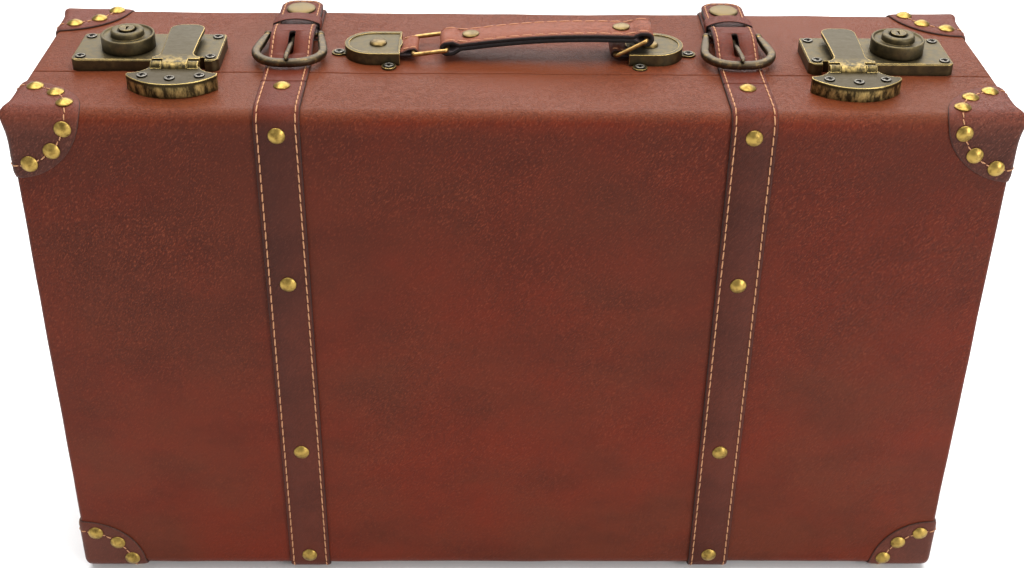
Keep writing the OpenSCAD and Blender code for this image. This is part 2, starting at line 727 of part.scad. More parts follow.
module base_screws() color("#b8b8b4") {
    for (p = lock_screw_points())
        translate([p[0], p[1], top_z + lock_h]) screw(lock_h + screw_depth);
    for (p = handle_screw_points())
        translate([p[0], p[1], top_z + lug_t]) screw(lug_t + screw_depth);
    hinge_screws(1);
}
module lid_screws() color("#b8b8b4") {
    for (p = hasp_screw_points())
        translate([p[0], p[1], top_z + hasp_h]) screw(hasp_h + screw_depth);
    hinge_screws(-1);
}
module hinge_screws(half) {
    for (p = hinge_screw_points(half))
        translate([p[0], p[1], foot_h - leaf_t]) rotate([180, 0, 0]) screw(leaf_t + screw_depth);
}

// The hasp's foot on the lid: a half-round block whose neck flares in to two knuckles
module hasp_base(side) color("#8c8264") on_side(side) translate([hasp_x, 0, top_z]) {
    bow_r = (pow(hasp_w/2, 2) + hasp_bow*hasp_bow)/(2*hasp_bow);
    flare_r = (hasp_w - neck_w)/2;
    difference() {
        union() {
            linear_extrude(hasp_h) intersection() {
                translate([0, hasp_nose + bow_r]) circle(r = bow_r, $fn = 128);
                translate([-hasp_w/2, hasp_nose]) square([hasp_w, hasp_back - hasp_nose]);
            }
            translate([0, 0, hasp_h - neck_t]) linear_extrude(neck_t) difference() {
                translate([-hasp_w/2, hasp_back - 0.1]) square([hasp_w, pin_y - hasp_back + 0.1]);
                for (sx = [-1, 1])
                    translate([sx*hasp_w/2, hasp_back + flare_r]) circle(r = flare_r, $fn = 64);
                for (sx = [-1, 1])
                    translate([sx*(neck_w/2 + hasp_w/2), hasp_back + 2*flare_r]) square([hasp_w, 2*flare_r], center = true);
            }
            linear_extrude(hasp_h) difference() {
                translate([-hasp_w/2, hasp_back - 0.1]) square([hasp_w, 4]);
                for (sx = [-1, 1])
                    translate([sx*hasp_w/2, hasp_back + flare_r]) circle(r = flare_r, $fn = 64);
            }
            translate([0, pin_y, hasp_pin_h]) rotate([0, 90, 0])
                cylinder(r = hasp_knuckle_r, h = neck_w, center = true, $fn = 64);
        }
        translate([0, pin_y, hasp_pin_h]) rotate([0, 90, 0]) {
            cylinder(r = hasp_pin_r + fit, h = neck_w + 2, center = true, $fn = 48);
            cylinder(r = hasp_knuckle_r + 0.35, h = lever_knuckle + 2*knuckle_gap, center = true, $fn = 64);
        }
        for (p = hasp_screws)
            translate([p[0], p[1], -1]) cylinder(r = screw_r + 0.1, h = hasp_h + 2, $fn = 24);
    }
}
module hasp_base_left() hasp_base(-1);
module hasp_base_right() hasp_base(1);

module hasp_pins() color("#8c8264") {
    for (side = [-1, 1])
        translate([side*hasp_x, pin_y, top_z + hasp_pin_h]) rotate([0, 90, 0])
            cylinder(r = hasp_pin_r, h = neck_w - 0.4, center = true, $fn = 48);
}

// Height of the lever's top above the leather, at a share t of its length
function lever_top(t) = hasp_pin_h + hasp_knuckle_r - 0.3 + 1.9*sin(120*t);

// Plan of the lever, measured from its pin: shoulders, a waist and a rounded tip
module lever_plan() {
    waist = lever_w/2 - 1;
    scoop = 6;
    tip = 7;
    start = hasp_knuckle_r + 0.35;
    difference() {
        translate([-neck_w/2, start]) square([neck_w, 8]);
        for (sx = [-1, 1])
            translate([sx*(waist + scoop), start + 8]) circle(r = scoop, $fn = 48);
        for (sx = [-1, 1])
            translate([sx*(waist + scoop + 10), start + 8]) square([20, 8], center = true);
    }
    polygon([[-waist, start + 7], [waist, start + 7], [lever_w/2, lever_l - tip], [-lever_w/2, lever_l - tip]]);
    translate([-lever_knuckle/2, 0]) square([lever_knuckle, start + 1]);
    translate([-lever_w/2 + tip, lever_l - 2*tip]) square([lever_w - 2*tip, 2*tip]);
    for (sx = [-1, 1])
        translate([sx*(lever_w/2 - tip), lever_l - tip]) circle(r = tip, $fn = 48);
}
// The hasp's lever, with the staple that drops into the lock under it
module hasp_lever(side) color("#8c8264") on_side(side) translate([hasp_x, pin_y, top_z]) {
    staple_y = lock_y - pin_y;
    steps = 10;
    tops = [for (i = [0:steps]) [lever_l*i/steps, lever_top(i/steps)]];
    difference() {
        union() {
            intersection() {
                along_x(neck_w + 2) polygon(concat(tops,
                    [for (i = [steps:-1:0]) [tops[i][0], tops[i][1] - lever_t]]));
                linear_extrude(2*(hasp_pin_h + hasp_knuckle_r)) lever_plan();
            }
            translate([0, 0, hasp_pin_h]) rotate([0, 90, 0])
                cylinder(r = hasp_knuckle_r, h = lever_knuckle, center = true, $fn = 64);
            difference() {
                span([-staple_t/2, staple_t/2], [staple_y - staple_half, staple_y + staple_half],
                    [bolt_low - 0.4 - 1.3, lever_top(0.6) - lever_t + 0.5]);
                span([-staple_t, staple_t],
                    [staple_y - staple_half + staple_web, staple_y + staple_half - staple_web],
                    [bolt_low - 0.4, bolt_low + bolt_t + 0.4]);
            }
        }
        translate([0, 0, hasp_pin_h]) rotate([0, 90, 0])
            cylinder(r = hasp_pin_r + fit, h = neck_w, center = true, $fn = 48);
    }
}
module hasp_lever_left() hasp_lever(-1);
module hasp_lever_right() hasp_lever(1);

// Plan of a handle cap: square at its mouth, round at its outer end
module cap_plan(inset) {
    r = cap_w/2 - inset;
    translate([cap_out - cap_w/2, 0]) circle(r = r, $fn = 96);
    translate([cap_in, -r]) square([cap_l - cap_w/2, 2*r]);
}
module handle_cap(side) color("#8c8264") on_side(side) translate([0, handle_y, top_z]) {
    ceiling = cap_h - cap_wall;
    rim = 0.6;
    difference() {
        union() {
            linear_extrude(cap_h - rim) cap_plan(0);
            linear_extrude(cap_h) difference() {
                cap_plan(0);
                intersection() {
                    cap_plan(2.4);
                    translate([cap_in + 1, -cap_w]) square([cap_l, 2*cap_w]);
                }
            }
            for (p = lug_points)
                translate([p[0], p[1], 0]) cylinder(r = lug_r, h = lug_t, $fn = 48);
            span([cap_out - 2, lug_points[0][0]], [-lug_r + 1, lug_r - 1], [0, lug_t]);
        }
        translate([0, 0, -1]) linear_extrude(ceiling + 1) cap_plan(cap_wall);
        span([cap_in - 1, cap_in + 1], [-cap_w/2 + cap_wall, cap_w/2 - cap_wall], [-1, ceiling]);
        translate([cap_rivet_x, 0, 0]) cylinder(r = 2 + fit, h = 20, $fn = 32);
        for (p = lug_points)
            translate([p[0], p[1], -1]) cylinder(r = screw_r + 0.1, h = lug_t + 2, $fn = 24);
    }
}
module handle_cap_left() handle_cap(-1);
module handle_cap_right() handle_cap(1);

module handle_cap_rivets() color("#b89a50") {
    for (side = [-1, 1])
        translate([side*cap_rivet_x, handle_y, top_z]) {
            translate([0, 0, cap_h - 0.6]) dome(cap_rivet_r, 1.8);
            cylinder(r = 2, h = cap_h - 0.5, $fn = 32);
        }
}

// The leather loop that ties a ring to its cap, folded round the ring's near bar
module handle_loop(side) color("#5a3228") on_side(side) translate([0, handle_y, top_z]) difference() {
    eye = ring_wire_r + 2*fit;
    outer = eye + loop_t;
    tail = cap_out - 6;
    low = pivot_h - outer;
    upper = low + loop_t + 0.2;
    along_y(-loop_w/2, loop_w/2) {
        difference() {
            union() {
                translate([pivot_x, pivot_h]) circle(r = outer, $fn = 64);
                polygon([[pivot_x, low], [tail, low], [tail, low + loop_t], [pivot_x, low + loop_t]]);
                polygon([[pivot_x, pivot_h + outer], [pivot_x, pivot_h + eye - 0.2], [cap_in - 1, upper],
                    [tail, upper], [tail, upper + loop_t], [cap_in - 0.8, upper + loop_t]]);
            }
            translate([pivot_x, pivot_h]) circle(r = eye, $fn = 64);
            polygon([[pivot_x, pivot_h + eye], [pivot_x, pivot_h - eye], [cap_in - 2.5, low + loop_t],
                [cap_in - 2.5, upper]]);
        }
    }
    translate([cap_rivet_x, 0, -1]) cylinder(r = 2 + fit, h = 20, $fn = 32);
}
module handle_loop_left() handle_loop(-1);
module handle_loop_right() handle_loop(1);

// A rectangular wire ring, drawn flat from its near bar at the origin towards +X
module ring_flat() {
    half = ring_w/2;
    bent_wire([[ring_l/2, -half], [ring_l, -half], [ring_l, half], [0, half],
        [0, -half], [ring_l/2, -half]], ring_wire_r, ring_bend, 0, 0);
}
module ring_left() color("#c99a50")
    translate([-pivot_x, handle_y, top_z + pivot_h]) rotate([0, -ring_left_rest, 0]) ring_flat();
module ring_right() color("#c99a50")
    translate([pivot_x, handle_y, top_z + pivot_h]) rotate([0, -ring_right_rest, 0]) ring_flat();

// The grip: a strap doubled back on itself, with a fold round each ring.
// Its own X runs from the left ring's bar to the right one's.
module on_grip() {
    translate([far_left[0], handle_y, top_z + far_left[1]]) rotate([0, -grip_tilt, 0]) children();
}
module grip() color("#5a3228") on_grip() difference() {
    taper = 10;
    shoulder = grip_end_r - 0.2;
    along_y(-grip_w/2, grip_w/2) difference() {
        union() {
            for (x = [0, grip_l]) translate([x, 0]) circle(r = grip_end_r, $fn = 64);
            polygon([[0, shoulder], [0, -shoulder], [3, -shoulder], [taper, -grip_t],
                [grip_l - taper, -grip_t], [grip_l - 3, -shoulder], [grip_l, -shoulder], [grip_l, shoulder],
                [grip_l - 3, shoulder], [grip_l - taper, grip_t], [taper, grip_t], [3, shoulder]]);
        }
        for (x = [0, grip_l]) translate([x, 0]) circle(r = grip_eye, $fn = 64);
        polygon([[0, grip_eye], [0, -grip_eye], [3, -grip_eye], [taper*0.7, 0], [3, grip_eye]]);
        polygon([[grip_l, grip_eye], [grip_l, -grip_eye], [grip_l - 3, -grip_eye],
            [grip_l - taper*0.7, 0], [grip_l - 3, grip_eye]]);
    }
    for (x = [grip_rivet_in, grip_l - grip_rivet_in])
        translate([x, 0, 0]) cylinder(r = 2 + fit, h = 4*grip_end_r, center = true, $fn = 32);
}
module grip_rivets() color("#b89a50") on_grip() {
    half_t = grip_t + 0.5;
    for (x = [grip_rivet_in, grip_l - grip_rivet_in]) translate([x, 0, 0]) {
        cylinder(r = 2, h = 2*half_t, center = true, $fn = 32);
        for (flip = [0, 180])
            rotate([flip, 0, 0]) translate([0, 0, half_t]) dome(5, 1.1);
    }
}

// Hinge leaves of one half: half is 1 for the base and -1 for the lid. Each carries its share
// of the five knuckles, the base the outer and middle ones.
module hinge_leaves(half) {
    pitch = hinge_l/5;
    mine = half > 0 ? [0, 2, 4] : [1, 3];
    near = knuckle_r + 0.4;
    for (side = [-1, 1]) translate([side*hinge_x, seam_y, 0]) difference() {
        union() {
            translate([-hinge_l/2, half > 0 ? near : -leaf_reach, foot_h - leaf_t])
                cube([hinge_l, leaf_reach - near, leaf_t]);
            for (i = mine) {
                x0 = -hinge_l/2 + i*pitch + knuckle_gap/2;
                translate([x0, half > 0 ? 0 : -near - 1, foot_h - leaf_t])
                    cube([pitch - knuckle_gap, near + 1, leaf_t - 0.2]);
                translate([x0, 0, hinge_z]) rotate([0, 90, 0])
                    cylinder(r = knuckle_r, h = pitch - knuckle_gap, $fn = 48);
            }
        }
        translate([0, 0, hinge_z]) rotate([0, 90, 0])
            cylinder(r = hinge_pin_r + fit, h = hinge_l + 2, center = true, $fn = 32);
        for (u = leaf_screws)
            translate([u, half*(leaf_reach - 5.5), -1]) cylinder(r = screw_r + 0.1, h = foot_h + 2, $fn = 24);
    }
}
module base_hinge_leaves() color("#8c8264") hinge_leaves(1);
module lid_hinge_leaves() color("#8c8264") hinge_leaves(-1);
module hinge_pins() color("#9a9a92") {
    for (side = [-1, 1])
        translate([side*hinge_x, seam_y, hinge_z]) rotate([0, 90, 0])
            cylinder(r = hinge_pin_r, h = hinge_l, center = true, $fn = 32);
}

base_boards();
base_cover();
base_lining();
base_corners();
base_corner_tacks();
base_foot_tacks();
base_strap_left();
base_strap_right();
base_strap_tacks();
base_press_discs();
lock_case_left();
lock_case_right();
lock_boss_left();
lock_boss_right();
lock_plug_left();
lock_plug_right();
lock_bolt_left();
lock_bolt_right();
base_screws();
handle_cap_left();
handle_cap_right();
handle_cap_rivets();
handle_loop_left();
handle_loop_right();
ring_left();
ring_right();
grip();
grip_rivets();
base_hinge_leaves();
hinge_pins();
lid_hinge_leaves();
lid_screws();
lid_boards();
lid_cover();
lid_lining();
lid_corners();
lid_corner_tacks();
lid_foot_tacks();
lid_strap_left();
lid_strap_right();
lid_strap_tacks();
hasp_base_left();
hasp_base_right();
hasp_pins();
hasp_lever_left();
hasp_lever_right();
tongue_left();
tongue_right();
buckle_chape_left();
buckle_chape_right();
keeper_left();
keeper_right();
tongue_caps_left();
tongue_caps_right();
buckle_left();
buckle_right();
prong_left();
prong_right();
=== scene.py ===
# %% [markdown]
# # A leather suitcase, dressed over its CAD frame
# The CAD model gives every piece its place and size. This script adds what a solid model lacks:
# leather that rolls over the edges, sewn seams, raw edges, worn brass. It loads the frame first,
# because every later measure is read from it.

# %% Load the frame
import json

import bpy
import numpy as np
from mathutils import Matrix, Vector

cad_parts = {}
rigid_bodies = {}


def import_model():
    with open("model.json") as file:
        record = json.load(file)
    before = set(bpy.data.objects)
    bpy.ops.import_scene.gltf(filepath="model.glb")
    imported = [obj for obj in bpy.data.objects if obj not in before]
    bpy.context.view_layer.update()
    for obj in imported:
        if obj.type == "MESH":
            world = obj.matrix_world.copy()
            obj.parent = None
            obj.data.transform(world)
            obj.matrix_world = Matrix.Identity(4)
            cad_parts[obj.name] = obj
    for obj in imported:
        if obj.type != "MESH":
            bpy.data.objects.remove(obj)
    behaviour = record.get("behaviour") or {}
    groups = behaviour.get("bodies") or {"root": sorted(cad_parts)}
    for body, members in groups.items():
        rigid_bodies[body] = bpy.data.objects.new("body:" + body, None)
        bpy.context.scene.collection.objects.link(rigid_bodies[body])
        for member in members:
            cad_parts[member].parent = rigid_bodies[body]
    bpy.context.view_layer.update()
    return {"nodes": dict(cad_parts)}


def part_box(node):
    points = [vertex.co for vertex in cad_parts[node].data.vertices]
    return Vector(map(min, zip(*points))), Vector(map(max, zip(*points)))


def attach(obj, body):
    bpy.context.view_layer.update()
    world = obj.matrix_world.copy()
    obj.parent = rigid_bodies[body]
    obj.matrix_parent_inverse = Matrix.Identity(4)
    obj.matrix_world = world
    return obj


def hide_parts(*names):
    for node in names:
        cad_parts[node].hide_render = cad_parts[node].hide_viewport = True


for thing in list(bpy.data.objects):
    bpy.data.objects.remove(thing)
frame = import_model()
nodes = frame["nodes"]
mm = 0.001
scene = bpy.context.scene

# %% [markdown]
# ## Measures
# The case is a rounded box cut in two by the seam. Its outer faces and the height of its top are
# read from the boxes of the CAD nodes. A place that no box tells, such as an axis inside a piece,
# gets its name beside the piece it belongs to.

# %% Read the measures of the case
low_of = {name: np.array(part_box(name)[0]) for name in nodes}
high_of = {name: np.array(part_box(name)[1]) for name in nodes}
case_half = high_of["base_cover"][0]
floor_of_case = low_of["base_cover"][2]
top = high_of["base_cover"][2]
back = high_of["base_cover"][1]
front = low_of["lid_cover"][1]
lid_rim = high_of["lid_cover"][1]
base_rim = low_of["base_cover"][1]
middle_z = (top + floor_of_case) / 2
half_high = (top - floor_of_case) / 2
edge_roll = 8 * mm
end_roll = 2.5 * mm
cover_t = 1.2 * mm
board_t = 5 * mm
patch_t = high_of["base_corners"][2] - top
sides = {"left": -1, "right": 1}
halves = (("base", base_rim, back), ("lid", lid_rim, front))
outward = (("base", 1, back), ("lid", -1, front))
x_axis, y_axis, z_axis = np.eye(3)
print("shell", 2 * case_half, back - front, 2 * half_high, "patch", patch_t)

# %% [markdown]
# ## Tools for surfaces
# Every new piece is a grid of points worked out with numpy: two parameters run over it, and the
# grid's neighbours are joined by quads. Points that fall together are welded, so a pole or a seam
# closes by itself, and a face that two halves share inside a piece is dropped.

# %% Grids and the parts of a piece
def grid_faces(rows, columns, wrap_rows=False, wrap_columns=False):
    """Quads between neighbours i, i + 1 and j, j + 1 of a grid, running round where wrapped."""
    i = np.arange(rows if wrap_rows else rows - 1)[:, None]
    j = np.arange(columns if wrap_columns else columns - 1)[None, :]
    after_i, after_j = (i + 1) % rows, (j + 1) % columns
    corners = [i * columns + j, i * columns + after_j,
               after_i * columns + after_j, after_i * columns + j]
    return np.stack(np.broadcast_arrays(*corners), -1).reshape(-1, 4)


def part(points, faces, finish=0):
    """A part of a piece: points, quads and the number of a finish, one for all faces or one each.
    A part whose faces point inwards (its signed volume is negative) is turned round."""
    points = np.asarray(points, float).reshape(-1, 3)
    finish = np.broadcast_to(finish, len(faces))
    a, b, c, d = (points[faces[:, k]] for k in range(4))
    volume = np.einsum("ij,ij->i", a, np.cross(b, c) + np.cross(c, d)).sum()
    return points, faces[:, ::-1] if volume < 0 else faces, finish


print("a grid of 3 by 4 points has", len(grid_faces(3, 4)), "faces, or",
      len(grid_faces(3, 4, True)), "when its rows run round")

# %% Welding
weld_gap = 1e-6


def welded(parts):
    """All parts as one set of points and faces. Points within a micrometre become one, a quad
    with two equal corners becomes a triangle, and faces that lie on each other both go."""
    points = np.concatenate([p for p, _, _ in parts])
    starts = np.cumsum([0] + [len(p) for p, _, _ in parts[:-1]])
    faces = np.concatenate([f + s for (_, f, _), s in zip(parts, starts)])
    finish = np.concatenate([m for _, _, m in parts])
    _, first, same = np.unique(np.round(points / weld_gap).astype(np.int64), axis=0,
                               return_index=True, return_inverse=True)
    points, faces = points[first], same.reshape(-1)[faces]
    _, back_to, count = np.unique(np.sort(faces, axis=1), axis=0,
                                  return_inverse=True, return_counts=True)
    single = count[back_to.reshape(-1)] == 1
    faces, finish = faces[single], finish[single]
    equal = faces == np.roll(faces, -1, axis=1)
    quads, pinched = equal.sum(1) == 0, equal.sum(1) == 1
    triangles = faces[pinched][~equal[pinched]].reshape(-1, 3)
    return points, faces[quads], triangles, np.concatenate([finish[quads], finish[pinched]])


# %% Making a piece
def make_piece(name, parts, finishes, body, replaced):
    """Welds the parts into one mesh with these finishes. The piece rides on a CAD body and takes
    the place of a CAD node."""
    points, quads, triangles, finish = welded(parts)
    mesh = bpy.data.meshes.new(name)
    mesh.from_pydata(points.tolist(), [], quads.tolist() + triangles.tolist())
    for material in finishes:
        mesh.materials.append(material)
    mesh.polygons.foreach_set("material_index", finish.astype(np.int32))
    mesh.polygons.foreach_set("use_smooth", np.full(len(mesh.polygons), True))
    mesh.update()
    piece = bpy.data.objects.new(name, mesh)
    scene.collection.objects.link(piece)
    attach(piece, body)
    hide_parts(replaced)
    print(f"{name}: {len(points)} points, {len(quads)} quads, {len(triangles)} triangles")
    return piece


def unit(vectors):
    """Each vector divided by its length."""
    return vectors / np.maximum(np.linalg.norm(vectors, axis=-1, keepdims=True), 1e-12)


print("the direction of (3, 4) is", unit(np.array([3.0, 4.0])))

# %% [markdown]
# ## Shader sums
# A material is easier to read as a formula than as a web of links. `Value` wraps a socket, and
# plus, minus, times and the rest add the Math nodes behind the scenes.

# %% A socket that takes part in sums
class Value:
    """A socket of a node tree. An operator on values adds the Math node for it."""

    def __init__(self, tree, socket):
        self.tree, self.socket = tree, socket

    def math(self, operation, *inputs):
        settings = {"operation": operation}
        return node(self.tree, "ShaderNodeMath", settings, dict(enumerate(inputs)))[0]

    def __add__(self, other):
        return self.math("ADD", self, other)

    def __sub__(self, other):
        return self.math("SUBTRACT", self, other)

    def __rsub__(self, other):
        return self.math("SUBTRACT", other, self)

    def __mul__(self, other):
        return self.math("MULTIPLY", self, other)

    __radd__, __rmul__ = __add__, __mul__

    def ridge(self, at, width):
        """1 where the value is at, and straight down to 0 a width away on both sides."""
        return 1 - self.math("ABSOLUTE", self - at).clamped(0, width)

    def clamped(self, low=0.0, high=1.0):
        """0 at low, 1 at high, and straight between them, kept from 0 to 1."""
        return node(self.tree, "ShaderNodeMapRange", {"clamp": True},
                    {"Value": self, "From Min": low, "From Max": high})[0]


# %% One way to add a node, and colours
def node(tree, kind, settings, inputs):
    """Adds a node, sets its settings, then its sockets' values or links; returns its outputs."""
    made = tree.nodes.new(kind)
    for key, value in settings.items():
        setattr(made, key, value)
    for key, value in inputs.items():
        if isinstance(value, Value):
            tree.links.new(value.socket, made.inputs[key])
        else:
            made.inputs[key].default_value = value
    return [Value(tree, socket) for socket in made.outputs]


def rgb(red, green, blue):
    """An sRGB colour of 0 to 255 as a linear one with alpha."""
    share = np.array([red, green, blue]) / 255
    linear = np.where(share <= 0.04045, share / 12.92, ((share + 0.055) / 1.055) ** 2.4)
    return (*linear.tolist(), 1.0)


print("a middle grey of 128 is a linear", rgb(128, 128, 128)[0])


# %% A material that is written as sums
class Finish:
    """A new material with its tree, its Principled shader and the object's own coordinates."""

    def __init__(self, name, **constants):
        self.material = bpy.data.materials.new(name)
        self.material.use_nodes = True
        self.tree = self.material.node_tree
        self.shader = self.tree.nodes["Principled BSDF"]
        for key, value in constants.items():
            self.shader.inputs[key.replace("_", " ")].default_value = value
        object_output = 3
        self.place = self.add("ShaderNodeTexCoord")[object_output]

    def add(self, kind, settings=None, **inputs):
        """Adds a node; an input's name is written with _ for each space."""
        named = {key.replace("_", " "): value for key, value in inputs.items()}
        return node(self.tree, kind, settings or {}, named)

    def noise(self, scale, detail=3.0, roughness=0.55, stretch=None, seed=0.0, turn=0.0):
        """Noise of a size of about 1/scale metres, stretched and turned about Y where told. A seed
        moves it to another place of the same noise."""
        place = self.place
        if stretch:
            place = self.add("ShaderNodeMapping", {"vector_type": "TEXTURE"}, Vector=place,
                             Scale=stretch, Rotation=(0, turn, 0), Location=(seed, seed, seed))[0]
        return self.add("ShaderNodeTexNoise", Vector=place, Scale=scale, Detail=detail,
                        Roughness=roughness)[0]

    def wave(self, direction, scale, distortion=0.0):
        """Even bands of light and dark across a direction, 0 to 1."""
        return self.add("ShaderNodeTexWave", {"bands_direction": direction}, Vector=self.place,
                        Scale=scale, Distortion=distortion)[1]

    def mix(self, share, first, second):
        """A colour between two colours or links, by a share. The Mix node has sockets for each
        kind of data: 0 is its factor, 6 and 7 are its colours, and output 2 is the colour."""
        made = node(self.tree, "ShaderNodeMix", {"data_type": "RGBA", "clamp_factor": True},
                    {0: share, 6: first, 7: second})
        return made[2]

    def bump(self, height, distance, strength=1.0, normal=None):
        """The normal of a relief: a height of 1 stands a distance proud."""
        under = {"Normal": normal} if normal else {}
        return self.add("ShaderNodeBump", Height=height, Distance=distance, Strength=strength,
                        **under)[0]

    def feed(self, **links):
        """Links values to the shader's sockets and gives the finished material."""
        for key, value in links.items():
            self.tree.links.new(value.socket, self.shader.inputs[key.replace("_", " ")])
        return self.material


# %% [markdown]
# ## Leather
# The hide is a red-brown, pressed with a fine grain and stained browner in clouds. Its creases
# are thin lines that run slantwise, with painted shade along them. The grain is a noise about a
# millimetre wide whose tops carry painted highlights. The walls get painted shade towards their
# top, and the top face a paler tone as painted sheen. Straps and patches are the same hide,
# darker. The top coat is dull: it mirrors only the light behind the case.

# %% Make the leather finishes
def hide(name, grit, *tones):
    """Clouds of red and brown, stained blotches, painted shade along the creases and towards the
    top of the walls, painted highlights as light specks on the grain, and a paler tone as painted
    sheen on whatever lies on the top side. grit says how much the grain shows in the colour."""
    red, brown, stain_and_shade, painted_glint, painted_top_sheen = (rgb(*tone) for tone in tones)
    slant = 0.6
    leather = Finish(name, Specular_IOR_Level=0.125)
    clouds = leather.noise(9, 4.0, 0.6, stretch=(1.0, 1.0, 0.7)).clamped(0.38, 0.62)
    blotches = leather.noise(30, 5.0, 0.62, stretch=(1.3, 1.0, 0.8), seed=3.1).clamped(0.45, 0.75)
    height = leather.add("ShaderNodeSeparateXYZ", Vector=leather.place)[2]
    shows = leather.noise(11, 3.0, 0.5, stretch=(1.0, 1.0, 1.4), seed=9.2).clamped(0.3, 0.68)
    shows = shows * 0.75 + 0.25
    # the grain, its painted highlights and the painted shade of the creases show more towards the
    # top of the walls
    shows = shows * (height.clamped(floor_of_case + 40 * mm, top - 60 * mm) * 0.55 + 0.45)
    grain = leather.noise(1200, 3.0, 0.62, stretch=(1.0, 1.0, 2.4), seed=1.7, turn=slant)
    creases = leather.noise(260, 4.0, 0.62, stretch=(1.0, 1.0, 2.6), seed=7.7, turn=slant)
    creases = creases.ridge(0.5, 0.05) * shows
    # painted shade: darker towards the top of the walls, stopping short of the top face
    painted_upper_shade = height.clamped(floor_of_case + 60 * mm, top - 15 * mm)
    painted_upper_shade = painted_upper_shade * (1 - height.clamped(top - 14 * mm, top - 5 * mm))
    base = leather.mix(clouds, red, brown)
    base = leather.mix(blotches * 0.45, base, stain_and_shade)
    base = leather.mix(painted_upper_shade * 0.48, base, stain_and_shade)
    # painted sheen: a paler, less red tone on the top face and the top of the roll
    base = leather.mix(height.clamped(top - 5 * mm, top - 0.5 * mm) * 0.75, base, painted_top_sheen)
    base = leather.mix((1 - grain.clamped(0.34, 0.5)) * shows * grit, base, stain_and_shade)
    # painted shade along the creases
    base = leather.mix(creases * 0.5, base, stain_and_shade)
    # painted highlights on the tops of the grain
    base = leather.mix(grain.clamped(0.55, 0.68) * shows * grit, base, painted_glint)
    relief = grain * shows * 1.3 - creases * 0.6
    roughness = grain * 0.14 + blotches * 0.05 + 0.4
    return leather.feed(Base_Color=base, Roughness=roughness,
                        Normal=leather.bump(relief, 0.35 * mm, 0.9))


# tones: red, brown, the dark of stains and painted shade, painted highlights of the grain, painted
# sheen of the top
shell_leather = hide("shell_leather", 0.46, (102, 34, 15), (92, 39, 21), (60, 23, 13),
                     (150, 76, 50), (105, 52, 25))
strap_leather = hide("strap_leather", 0.4, (88, 40, 27), (79, 37, 26), (48, 22, 15),
                     (116, 66, 50), (99, 41, 24))
patch_leather = hide("patch_leather", 0.5, (98, 50, 37), (88, 46, 35), (50, 26, 20),
                     (142, 90, 72), (104, 50, 35))
grip_leather = hide("grip_leather", 0.4, (124, 60, 43), (110, 56, 42), (74, 34, 25),
                    (150, 88, 66), (134, 78, 56))
print("shell leather has", len(shell_leather.node_tree.nodes), "nodes")

# %% [markdown]
# ## Cut edges, the flesh side and thread
# Where leather is cut, its fibres show: dyed nearly black on the straps, browner on the patches.
# The side that lay on the flesh is a pale grey nap. The thread is twisted from two yarns, so its
# colour runs in slanting bands.

# %% Make the edges, the flesh side and the thread
def cut_edge(name, dark, light):
    """The side of cut leather: dyed fibres, rough and dull."""
    edge = Finish(name, Specular_IOR_Level=0.25)
    fibres = edge.noise(700, 4.0, 0.7)
    return edge.feed(Base_Color=edge.mix(fibres.clamped(0.4, 0.75), rgb(*dark), rgb(*light)),
                     Roughness=fibres * 0.2 + 0.55, Normal=edge.bump(fibres, 0.12 * mm, 0.8))


def sewing_thread(name, dark, light):
    """Two twisted yarns: diagonal bands of light and dark."""
    yarn = Finish(name, Specular_IOR_Level=0.25)
    twist = yarn.wave("DIAGONAL", 900.0, 1.5)
    return yarn.feed(Base_Color=yarn.mix(twist, rgb(*dark), rgb(*light)),
                     Roughness=twist * 0.1 + 0.6, Normal=yarn.bump(twist, 0.08 * mm, 0.6))


raw_edge = cut_edge("raw_edge", (32, 20, 17), (62, 42, 36))
patch_edge = cut_edge("patch_edge", (54, 32, 27), (88, 58, 47))
black_edge = cut_edge("black_edge", (15, 12, 12), (42, 34, 33))
flesh = Finish("flesh_side", Specular_IOR_Level=0.2)
nap = flesh.noise(900, 4.0, 0.75)
flesh_side = flesh.feed(
    Base_Color=flesh.mix(nap.clamped(0.3, 0.7), rgb(84, 74, 76), rgb(116, 104, 106)),
    Roughness=nap * 0.1 + 0.8, Normal=flesh.bump(nap, 0.15 * mm, 0.8))
thread = sewing_thread("thread", (150, 100, 70), (208, 156, 114))
grip_thread = sewing_thread("grip_thread", (134, 86, 62), (204, 146, 110))
print("thread has", len(thread.node_tree.nodes), "nodes")
